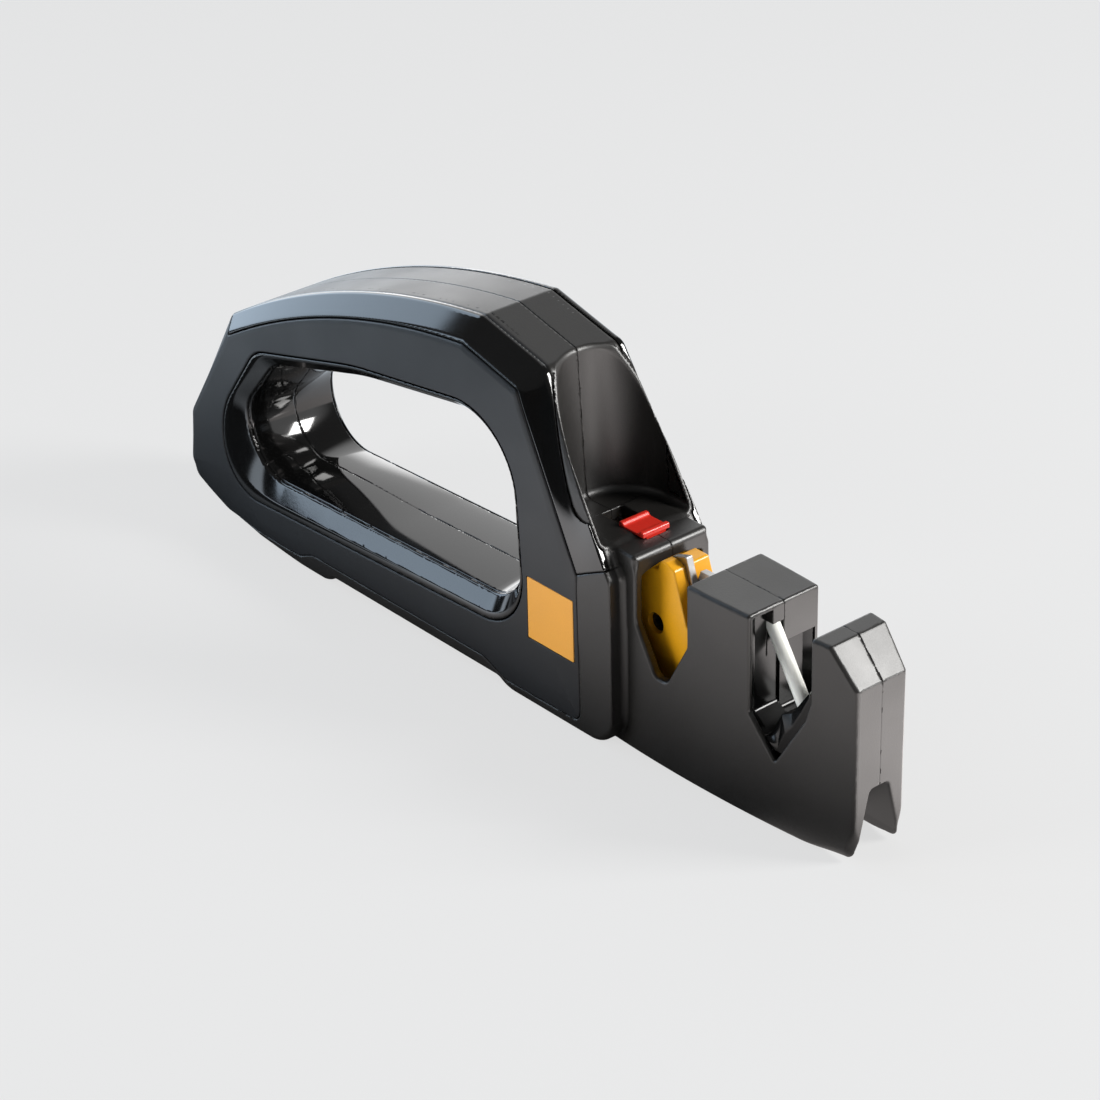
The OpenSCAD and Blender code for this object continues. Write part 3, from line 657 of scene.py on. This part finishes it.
# Carrier with its two crossed carbide plates. The front plate is the rear one turned.
CARRIER_HALF, CARRIER_EDGE = 5.0, 0.4
CARRIER_TOP_R = 26.3  # radius of its top edges about the pivot
CARRIER_SPLIT = 0.05  # each half's distance from the middle plane
PIN_BORE_R = 1.56
CAR_REAR, CAR_FRONT = 43.8, 65.3
WINDOW_TOP = PIVOT_Z + math.sqrt(CARRIER_TOP_R**2 - CARRIER_HALF**2)
CAR_BACK = [
    [CAR_REAR, 12, 1.5], [CAR_REAR, WINDOW_TOP - 3, 1], [46.6, WINDOW_TOP, 1],
    [49.9, WINDOW_TOP, 0.6],
]
RIGHT_CARRIER = Outline(CAR_BACK + [
    [50.6, 46.2, 0.8], [52.4, 46.5, 1], [55.1, 45.5, 1], [58.9, 33.6, 2], [63.2, 28.5, 3],
    [CAR_FRONT, 26, 2], [CAR_FRONT, 12, 1.5],
])
LEFT_CARRIER = Outline(CAR_BACK + [
    [50.9, 46, 0.6], [55.2, 46, 0.8], [56.9, 41.2, 0.4], [57.6, 41.2, 0.4],
    [58.6, 43.2, 0.8], [61.6, 43.6, 1], [64.3, 42.6, 1], [CAR_FRONT - 0.2, 38, 1],
    [CAR_FRONT, 12, 1.5],
])
REAR_CARBIDE_TOP, FRONT_CARBIDE_TOP = 47.7, 44.8
CARBIDE_CROSS = 42.6  # height where the two cutting edges cross
CARBIDE_LEAN = math.radians(18.3)
CARBIDE_THICK, CARBIDE_WIDTH = 1.7, 4.6
CARBIDE_LOW, CARBIDE_HIGH = -12.5, 5.5
CARBIDE_EDGE, CARBIDE_TOP_EDGE = 0.1, 0.12
CARBIDE_FIT = 0.03
CLAMP_X, CLAMP_Z = 49.2, 30.5
CLAMP_HOLE_R, CLAMP_HOLE_DEEP, CLAMP_SHANK_R = 2.4, 1.9, 1.25
CLAMP_HEAD_R, CLAMP_HEAD_Y, CLAMP_SHANK_Y = 2.2, (-4, -3.1), (-3.2, 4.7)
CLAMP_HOLE_EDGE, CLAMP_HEAD_EDGE, SOCKET_EDGE = 0.2, 0.2, 0.08
SOCKET_R, SOCKET_LOBE, SOCKET_LOBES, SOCKET_FLOOR = 1.05, 0.22, 6, 3.4
ARM_X, ARM_HALF, ARM_Z = (32.6, 44.8), 4, (29.5, 33.6)
SECTOR_X, SECTOR_HALF, SECTOR_R = (32.6, 35.4), 4.6, 22.8
SPRING_BAR_X, SPRING_BAR_HALF, SPRING_BAR_Z = (36.9, 47.9), 6.8, (11.7, 14.7)
TAIL_EDGE, TAIL_FILLET = 0.3, 0.5


def carbide(x, y, z, top, grow=0.0):
    """The rear plate, its cutting edge through the slot's middle, ground off at its top."""
    cos, sin = math.cos(CARBIDE_LEAN), math.sin(CARBIDE_LEAN)
    ax = (x - SLOT_A_MID) * cos + (z - CARBIDE_CROSS) * sin
    az = -(x - SLOT_A_MID) * sin + (z - CARBIDE_CROSS) * cos
    faces = slab(y, -CARBIDE_THICK - CARBIDE_FIT, -CARBIDE_FIT)
    bar = cut_off(slab(ax, -CARBIDE_WIDTH, 0), faces, CARBIDE_EDGE)
    bar = cut_off(bar, slab(az, CARBIDE_LOW, CARBIDE_HIGH), CARBIDE_EDGE)
    return cut_off(bar, z - top, CARBIDE_TOP_EDGE) - grow


def turned_carbide(x, y, z, top, grow=0.0):
    """The front plate."""
    return carbide(*turned(x, y, SLOT_A_MID), z, top, grow)


def clamp_hole(x, y, z):
    off = np.hypot(x - CLAMP_X, z - CLAMP_Z)
    head = np.maximum(off - CLAMP_HOLE_R, y + CARRIER_HALF - CLAMP_HOLE_DEEP)
    return np.minimum(head, off - CLAMP_SHANK_R)


def clamp_screw(x, y, z):
    off = np.hypot(x - CLAMP_X, z - CLAMP_Z)
    head = cut_off(off - CLAMP_HEAD_R, slab(y, *CLAMP_HEAD_Y), CLAMP_HEAD_EDGE)
    angle = np.arctan2(z - CLAMP_Z, x - CLAMP_X)
    socket = off - SOCKET_R - SOCKET_LOBE * np.cos(SOCKET_LOBES * angle)
    head = without(head, np.maximum(socket, y + SOCKET_FLOOR), SOCKET_EDGE)
    return np.minimum(head, np.maximum(off - CLAMP_SHANK_R, slab(y, *CLAMP_SHANK_Y)))


def carrier_tail(x, y, z):
    """The carrier's arm, the sector that the slider brakes, and the bar over the springs."""
    w = np.abs(y)
    arm = block(x, w, z, ARM_X, ARM_HALF, ARM_Z)
    sector = np.maximum(slab(x, *SECTOR_X), np.maximum(w - SECTOR_HALF, ARM_Z[0] - z))
    sector = np.maximum(sector, np.hypot(y, z - PIVOT_Z) - SECTOR_R)
    bar = block(x, w, z, SPRING_BAR_X, SPRING_BAR_HALF, SPRING_BAR_Z)
    return np.minimum(np.minimum(arm, sector), bar)


def carrier(outline, sign):
    """The field of one carrier half. The right one holds the clamp screw's head."""

    def field(x, y, z):
        w = np.abs(y)
        body = cut_off(w - CARRIER_HALF, outline(x, z), CARRIER_EDGE)
        tail = cut_off(carrier_tail(x, y, z), w - SPRING_BAR_HALF, TAIL_EDGE)
        body = np.maximum(joined(body, tail, TAIL_FILLET), CARRIER_SPLIT - sign * y)
        body = np.maximum(body, -np.hypot(y, z - PIVOT_Z) + PIN_BORE_R)
        if sign < 0:
            body = without(body, clamp_hole(x, y, z), CLAMP_HOLE_EDGE)
        rear = carbide(x, y, z, REAR_CARBIDE_TOP, CARBIDE_FIT)
        front = turned_carbide(x, y, z, FRONT_CARBIDE_TOP, CARBIDE_FIT)
        return np.maximum(body, -np.minimum(rear, front))

    return field


# Lock slider: a top with a raised bar at each end, and what guides it below.
SLIDER_REAR, SLIDER_FRONT, SLIDER_HALF = 36.2, 44.1, 3.9
SLIDER_LOW = SHOULDER_TOP + 0.15
SLIDER_DISH, SLIDER_HIGH = SLIDER_LOW + 0.6, SLIDER_LOW + 1.3
SLIDER_BAR, SLIDER_RAMP = 1.1, 1.8  # from each end to the bar's edge, and to the dish
LOW_R, BAR_R, DISH_R = 0.15, 0.45, 0.8
SLIDER_EDGE, SLIDER_FILLET = 0.3, 0.1
SLIDER_SIDE = Outline([
    [SLIDER_REAR, SLIDER_LOW, LOW_R], [SLIDER_FRONT, SLIDER_LOW, LOW_R],
    [SLIDER_FRONT, SLIDER_HIGH, BAR_R], [SLIDER_FRONT - SLIDER_BAR, SLIDER_HIGH, BAR_R],
    [SLIDER_FRONT - SLIDER_RAMP, SLIDER_DISH, DISH_R],
    [SLIDER_REAR + SLIDER_RAMP, SLIDER_DISH, DISH_R],
    [SLIDER_REAR + SLIDER_BAR, SLIDER_HIGH, BAR_R], [SLIDER_REAR, SLIDER_HIGH, BAR_R],
])
STEM_X = (36.7, 44)
STEM_HALF, STEM_Z = 2.8, (44, 48.6)
FLANGE_HALF, FLANGE_Z = 4.5, (44, 45.4)
BRAKE_X, BRAKE_HALF, BRAKE_Z, BRAKE_R = (38.3, 42.3), 3, (40.5, 44.3), 23.1


def slider(x, y, z):
    w = np.abs(y)
    top = cut_off(SLIDER_SIDE(x, z), w - SLIDER_HALF, SLIDER_EDGE)
    stem = block(x, w, z, STEM_X, STEM_HALF, STEM_Z)
    flange = block(x, w, z, STEM_X, FLANGE_HALF, FLANGE_Z)
    brake = block(x, w, z, BRAKE_X, BRAKE_HALF, BRAKE_Z)
    brake = np.maximum(brake, BRAKE_R - np.hypot(y, z - PIVOT_Z))
    return joined(np.minimum(np.minimum(stem, flange), brake), top, SLIDER_FILLET)


# Side pieces.
BADGE_X, BADGE_Z, BADGE_CORNER = (18.2, 33.6), (17.6, 33), 0.4
BADGE_LINE = Outline([
    [BADGE_X[0], BADGE_Z[0], BADGE_CORNER], [BADGE_X[1], BADGE_Z[0], BADGE_CORNER],
    [BADGE_X[1], BADGE_Z[1], BADGE_CORNER], [BADGE_X[0], BADGE_Z[1], BADGE_CORNER],
])
BADGE_SEAT, BADGE_THICK, BADGE_EDGE = 0.5, 0.45, 0.18
BADGE_HOLE, BADGE_IN = 0.08, 0.05  # how far hole and badge stand off their shared outline
LINER_FIT, LINER_EDGE = 0.1, 0.3


def panel(x, y, z):
    body = cut_off(handle(x, y, z), panel_zone(x, y, z, GAP), SKIN_EDGE)
    hole = np.maximum(BADGE_LINE(x, z) - BADGE_HOLE, y + SIDE - BADGE_SEAT)
    return np.maximum(body, -hole)


def badge(x, y, z):
    faces = slab(y, -SIDE, -SIDE + BADGE_THICK)
    return cut_off(BADGE_LINE(x, z) + BADGE_IN, faces, BADGE_EDGE)


def trim(x, y, z):
    zone = np.maximum(trim_zone(x, y, z, GAP), RIM + GAP - scoop(x, y, z))
    return cut_off(handle(x, y, z), zone, SKIN_EDGE)


def liner(x, y, z):
    body = np.maximum(loop_seat(x, y, z) + LINER_FIT, np.abs(y) - SIDE)
    body = cut_off(LIP(x, z) + LINER_FIT, body, LINER_EDGE)
    return without(body, loop_void(x, y, z), LINER_EDGE)


# Materials.
class Nodes:
    """Short ways to add nodes to a shader tree and to join them."""

    def __init__(self, tree):
        self.tree = tree

    def new(self, kind):
        """A new shader node of that kind."""
        return self.tree.nodes.new("ShaderNode" + kind)

    def put(self, socket, value):
        """Gives a socket a value, or a link from another socket."""
        if isinstance(value, bpy.types.NodeSocket):
            self.tree.links.new(value, socket)
        else:
            socket.default_value = value

    def fill(self, node, values):
        """Puts the values into a node's first inputs."""
        for socket, value in zip(node.inputs, values):
            self.put(socket, value)
        return node

    def calc(self, operation, *values):
        """The result of a math node."""
        node = self.new("Math")
        node.operation = operation
        return self.fill(node, values).outputs[0]

    def noise(self, place, size, detail):
        """Noise with a grain of that size in millimetres."""
        node = self.new("TexNoise")
        node.inputs["Scale"].default_value = 1 / (size * MM)
        node.inputs["Detail"].default_value = detail
        self.put(node.inputs["Vector"], place)
        return node.outputs["Fac"]

    def spread(self, value, low, high, at_low, at_high):
        """at_low below low, at_high above high, and a smooth run between."""
        node = self.new("MapRange")
        node.interpolation_type = "SMOOTHSTEP"
        return self.fill(node, (value, low, high, at_low, at_high)).outputs["Result"]

    def unless_camera(self, color, plain):
        """A colour, but a plain one for the camera's own rays."""
        seen = self.new("Mix")
        seen.data_type = "RGBA"
        self.put(seen.inputs["Factor"], self.new("LightPath").outputs["Is Camera Ray"])
        self.put(seen.inputs["A"], color)
        self.put(seen.inputs["B"], plain)
        return seen.outputs["Result"]


BROAD_SIZE = 16  # size of the slow mottling, in millimetres
FINE_DETAIL, BROAD_DETAIL = 3, 4
FINE_SHARE, BROAD_SHARE = 0.6, 0.4
TINT_FROM, TINT_TO = 0.35, 0.65  # noise levels of the darkest and the lightest tint
GLOSS_FROM, GLOSS_TO = 0.3, 0.7  # noise levels of the smoothest and the roughest
BUMP_DEPTH = 0.05


def material(name, base, rough, ior, grain, grain_size, mottle, uneven, metal=0.0):
    """A moulded or ground surface: mottled colour, fine grain and slightly uneven gloss."""
    mat = bpy.data.materials.new(name)
    mat.use_nodes = True
    make = Nodes(mat.node_tree)
    shader = mat.node_tree.nodes["Principled BSDF"]
    shader.inputs["IOR"].default_value = ior
    shader.inputs["Metallic"].default_value = metal
    place = make.new("TexCoord").outputs["Object"]
    fine = make.noise(place, grain_size, FINE_DETAIL)
    broad = make.noise(place, BROAD_SIZE, BROAD_DETAIL)
    tint = make.new("ValToRGB")
    dark, light = tint.color_ramp.elements
    dark.position, light.position = TINT_FROM, TINT_TO
    dark.color = (*[c * (1 - mottle) for c in base], 1)
    light.color = (*[min(1, c * (1 + mottle)) for c in base], 1)
    fine_part = make.calc("MULTIPLY", fine, FINE_SHARE)
    broad_part = make.calc("MULTIPLY", broad, BROAD_SHARE)
    make.put(tint.inputs["Fac"], make.calc("ADD", fine_part, broad_part))
    make.put(shader.inputs["Base Color"], tint.outputs["Color"])
    low, high = rough * (1 - uneven), rough * (1 + uneven)
    make.put(shader.inputs["Roughness"], make.spread(broad, GLOSS_FROM, GLOSS_TO, low, high))
    bump = make.new("Bump")
    bump.inputs["Strength"].default_value = grain
    bump.inputs["Distance"].default_value = BUMP_DEPTH * MM
    make.put(bump.inputs["Height"], fine)
    make.put(shader.inputs["Normal"], bump.outputs["Normal"])
    return mat


# Base colour, roughness, IOR, strength and size of the grain, mottle, uneven gloss, metal.
LOOKS = {
    "case_matte": ((0.0115, 0.0108, 0.010), 0.40, 1.62, 0.35, 0.35, 0.18, 0.08),
    "soft_grip": ((0.010, 0.011, 0.0125), 0.46, 1.55, 0.25, 0.3, 0.12, 0.06),
    "gloss_black": ((0.003, 0.003, 0.003), 0.07, 1.65, 0.03, 0.8, 0.1, 0.3),
    "badge_orange": ((0.76, 0.34, 0.048), 0.4, 1.5, 0.1, 0.3, 0.05, 0.1),
    "slider_red": ((0.68, 0.03, 0.018), 0.28, 1.5, 0.12, 0.3, 0.06, 0.1),
    "carrier_yellow": ((0.80, 0.37, 0.010), 0.3, 1.5, 0.12, 0.3, 0.05, 0.1),
    "carbide": ((0.55, 0.55, 0.55), 0.38, 1.6, 0.2, 0.15, 0.06, 0.1, 1.0),
    "steel": ((0.45, 0.45, 0.46), 0.3, 1.5, 0.1, 0.2, 0.05, 0.1, 1.0),
    "ceramic": ((0.92, 0.92, 0.87), 0.4, 1.55, 0.12, 0.2, 0.03, 0.1),
    # Steel darkened as painted shade, for the clamp screw that sits in a shaded hole.
    "steel_painted_shade": ((0.06, 0.06, 0.06), 0.35, 1.5, 0.1, 0.2, 0.05, 0.1, 1.0),
    "holder_black": ((0.003, 0.003, 0.003), 0.22, 1.36, 0.05, 0.5, 0.1, 0.3),
}
MATERIALS = {name: material(name, *look) for name, look in LOOKS.items()}


def add(name, node, field, cell, keep, slot, body="case", look=None):
    """The piece that shows in place of a CAD node. Its look may differ from its slot's."""
    low, high = node_mm(node)
    obj = piece(name, field, low, high, cell, keep)
    obj.data.materials.append(MATERIALS[look or slot])
    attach(obj, body)
    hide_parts(node)


SPLIT_EDGE, LINER_SPLIT_EDGE = 0.08, 0.12

# Object, CAD node, field, cell in millimetres, share of faces kept, slot, body.
add("right_case", "right_housing_half", half(case, -1, SPLIT_EDGE), 0.4, 0.35, "case_matte")
add("left_case", "left_housing_half", half(case, 1, SPLIT_EDGE), 0.4, 0.35, "case_matte")
for name, sign in (("right", -1), ("left", 1)):
    add(name + "_panel", name + "_grip_panel", side(panel, sign), 0.3, 0.3, "soft_grip")
    add(name + "_trim", name + "_gloss_trim", side(trim, sign), 0.3, 0.5, "gloss_black")
    add(name + "_liner", name + "_loop_liner", half(liner, sign, LINER_SPLIT_EDGE),
        0.4, 0.5, "gloss_black")
add("badge", "badge_plate", badge, 0.15, 0.5, "badge_orange")
add("slider", "lock_slider", slider, 0.15, 0.6, "slider_red", "slider")
add("right_carrier", "right_carrier_half", carrier(RIGHT_CARRIER, -1),
    0.2, 0.5, "carrier_yellow", "carrier")
add("left_carrier", "left_carrier_half", carrier(LEFT_CARRIER, 1),
    0.2, 0.5, "carrier_yellow", "carrier")
add("rear_carbide", "rear_carbide_plate",
    lambda x, y, z: carbide(x, y, z, REAR_CARBIDE_TOP), 0.12, 0.5, "carbide", "carrier")
add("front_carbide", "front_carbide_plate",
    lambda x, y, z: turned_carbide(x, y, z, FRONT_CARBIDE_TOP), 0.12, 0.5, "carbide", "carrier")
# The clamp screw gets the darkened steel, painted shade for the shadow in its hole.
add("clamp_screw", "carrier_clamp_screw", clamp_screw,
    0.1, 0.6, "steel", "carrier", look="steel_painted_shade")
add("holder", "rod_holder", holder, 0.2, 0.4, "gloss_black", look="holder_black")
add("rear_rod", "rear_ceramic_rod", rod, 0.15, 0.6, "ceramic")
add("front_rod", "front_ceramic_rod", turned_rod, 0.15, 0.6, "ceramic")
for node in ("pivot_pin", "right_centring_spring", "left_centring_spring", "housing_screws"):
    frame["nodes"][node].data.materials.clear()
    frame["nodes"][node].data.materials.append(MATERIALS["steel"])


# Floor, light and camera, in metres.
PALE = (0.79, 0.79, 0.79, 1)  # the background that the camera sees
CAMERA_SHARE = 0.85  # share of it on the floor; the rest is lit and keeps the shadow
FLOOR_REACH = 6.0
FLOOR_COLOR = (0.8, 0.8, 0.8, 1)

# What glossy rays see on the floor instead, a painted reflection of pale cards with painted
# shadow beside the tool: from where to where, and the level at each end.
BEHIND_Y = (0.0, 0.05, 0.03, 1.2)
BESIDE_Y, BESIDE_END_Y = (-0.105, -0.012, 1.85, 0), (-0.16, -0.12, 0, 1)
# Painted shadow: the card beside the tool darkens towards it and round this spot.
PAINTED_SHADOW_SPOT, PAINTED_SHADOW_SPOT_R = (-0.122, -0.067, 0), (0.024, 0.036, 0, 1)
UNDER_Y, UNDER_X = (0.009, 0.015, 0.6, 0), (0.08, 0.095, 0, 1)
AHEAD_WAY, AHEAD, AHEAD_END_Y = (0.77, 0.64), (0.085, 0.11, 0, 2.9), (0.05, 0.085, 1, 0)
TINT_X, COOL, WARM = (-0.15, 0.02), (0.88, 1.0, 1.12), (1.05, 0.99, 0.97)


def painted_reflection_cards(make):
    """Painted reflections of pale cards on a dark floor, cooler at the rear of the tool, with
    painted shadow where the floor darkens beside the tool and round one spot.
    """
    at = make.new("NewGeometry").outputs["Position"]
    place = make.fill(make.new("SeparateXYZ"), [at])
    x, y = place.outputs["X"], place.outputs["Y"]
    behind = make.spread(y, *BEHIND_Y)
    spot = make.new("VectorMath")
    spot.operation = "DISTANCE"
    make.fill(spot, (at, PAINTED_SHADOW_SPOT))
    # Painted shadow: the card beside the tool fades to dark near it and round the spot.
    beside = make.calc("MULTIPLY", make.spread(y, *BESIDE_Y), make.spread(y, *BESIDE_END_Y))
    beside = make.calc("MULTIPLY", beside, make.spread(spot.outputs["Value"], *PAINTED_SHADOW_SPOT_R))
    under = make.spread(make.calc("ABSOLUTE", y), *UNDER_Y)
    under = make.calc("MULTIPLY", under, make.spread(x, *UNDER_X))
    way = make.calc("MULTIPLY_ADD", x, AHEAD_WAY[0], make.calc("MULTIPLY", y, AHEAD_WAY[1]))
    ahead = make.calc("MULTIPLY", make.spread(way, *AHEAD), make.spread(y, *AHEAD_END_Y))
    cards = make.calc("ADD", make.calc("ADD", behind, beside), make.calc("ADD", ahead, under))
    tints = [make.spread(x, *TINT_X, cool, warm) for cool, warm in zip(COOL, WARM)]
    tone = make.new("CombineColor")
    return make.fill(tone, [make.calc("MULTIPLY", cards, t) for t in tints]).outputs[0]


def floor():
    """A wide pale floor that keeps the object's shadow; gloss sees the painted reflection cards.
    """
    mesh = bpy.data.meshes.new("floor")
    r = FLOOR_REACH
    mesh.from_pydata([(-r, -r, 0), (r, -r, 0), (r, r, 0), (-r, r, 0)], [], [(0, 1, 2, 3)])
    obj = bpy.data.objects.new("floor", mesh)
    bpy.context.scene.collection.objects.link(obj)
    mat = bpy.data.materials.new("floor")
    mat.use_nodes = True
    mat.node_tree.nodes.clear()
    make = Nodes(mat.node_tree)
    path = make.new("LightPath").outputs
    lit = make.new("BsdfDiffuse")
    lit.inputs["Color"].default_value = FLOOR_COLOR
    plain = make.new("Emission")
    make.put(plain.inputs["Color"], make.unless_camera(painted_reflection_cards(make), PALE))
    share = make.calc("MULTIPLY_ADD", path["Is Camera Ray"], CAMERA_SHARE, path["Is Glossy Ray"])
    mix = make.fill(make.new("MixShader"), (share, lit.outputs[0], plain.outputs[0]))
    make.put(make.new("OutputMaterial").inputs["Surface"], mix.outputs[0])
    mesh.materials.append(mat)


LAMP_AIM = Vector((0.03, 0, 0.04))
LAMP_DISTANCE = 1.0


def lamp(name, direction, size, power, color):
    """An area lamp that looks at the tool."""
    data = bpy.data.lights.new(name, "AREA")
    data.shape = "RECTANGLE"
    data.size, data.size_y = size
    data.energy = power
    data.color = color
    obj = bpy.data.objects.new(name, data)
    bpy.context.scene.collection.objects.link(obj)
    way = Vector(direction).normalized()
    obj.location = LAMP_AIM + way * LAMP_DISTANCE
    obj.rotation_mode = "QUATERNION"
    obj.rotation_quaternion = way.to_track_quat("Z", "Y")
    return obj


# Round patches of the world: direction, inner and outer angle in degrees, level.
DOME = ((-0.77, 0.59, 0.24), 22, 42, 1.2)
LOW_DOME = ((-0.84, 0.54, -0.1), 12, 24, 2.4)
AHEAD_PATCH = ((0.92, 0.35, 0.15), 20, 40, 0.8)
WINDOW = ((-0.90, -0.30, 0.25), 26, 40, 2.5)
LOW_WINDOW = ((-0.70, -0.71, 0.03), 8, 12, 2.6)
WINDOW_SIDE, WINDOW_EDGE = (0.515, -0.857, 0), (-0.012, 0.012, 1, 0)
AMBIENT = 0.1
WINDOW_TINT = (0.80, 1.0, 1.22)


def world():
    """Dim studio with pale patches behind and ahead, and a cool window at its rear."""
    made = bpy.data.worlds.new("studio")
    bpy.context.scene.world = made
    made.use_nodes = True
    make = Nodes(made.node_tree)
    place = make.new("TexCoord").outputs["Generated"]

    def facing(direction):
        node = make.new("VectorMath")
        node.operation = "DOT_PRODUCT"
        return make.fill(node, (place, Vector(direction).normalized())).outputs["Value"]

    def patch(direction, inner, outer, level):
        low, high = math.cos(math.radians(outer)), math.cos(math.radians(inner))
        return make.spread(facing(direction), low, high, 0, level)

    level = make.calc("ADD", patch(*DOME), patch(*LOW_DOME))
    level = make.calc("ADD", make.calc("ADD", level, patch(*AHEAD_PATCH)), AMBIENT)
    edge = make.spread(facing(WINDOW_SIDE), *WINDOW_EDGE)
    window = make.calc("MULTIPLY", patch(*WINDOW), edge)
    cool = make.calc("MAXIMUM", window, patch(*LOW_WINDOW))
    tints = [make.calc("MULTIPLY_ADD", cool, share, level) for share in WINDOW_TINT]
    tone = make.fill(make.new("CombineColor"), tints).outputs[0]
    background = made.node_tree.nodes["Background"]
    make.put(background.inputs["Color"], make.unless_camera(tone, PALE))


# The camera as solved from the photo's edges: focal length in photo pixels, place and axes.
PHOTO_SIZE, FOCAL_PX, SENSOR_MM = 1100, 3494.6, 36
CAMERA_AT = Vector((0.53290, -0.43710, 0.40592))
CAMERA_RIGHT = Vector((0.64885, 0.76063, -0.02082))
CAMERA_UP = Vector((-0.35527, 0.32702, 0.87570))
CAMERA_BACK = Vector((0.67289, -0.56080, 0.48241))


def camera():
    data = bpy.data.cameras.new("camera")
    data.sensor_width = SENSOR_MM
    data.lens = FOCAL_PX * SENSOR_MM / PHOTO_SIZE
    data.clip_start, data.clip_end = 0.05, 50
    obj = bpy.data.objects.new("camera", data)
    bpy.context.scene.collection.objects.link(obj)
    spin = Matrix((CAMERA_RIGHT, CAMERA_UP, CAMERA_BACK)).transposed().to_4x4()
    obj.matrix_world = Matrix.Translation(CAMERA_AT) @ spin
    bpy.context.scene.camera = obj


floor()
world()
# Name, direction, size in metres, power in watts, colour.
lamp("key", (0.66, 0.57, 0.49), (0.3, 0.42), 13, (1.0, 0.99, 0.97))
fill_lamp = lamp("fill", (-0.5, -0.82, 0.28), (0.5, 0.5), 7, (0.96, 0.98, 1.0))
fill_lamp.visible_glossy = False
camera()
bpy.context.scene.view_settings.view_transform = "Standard"
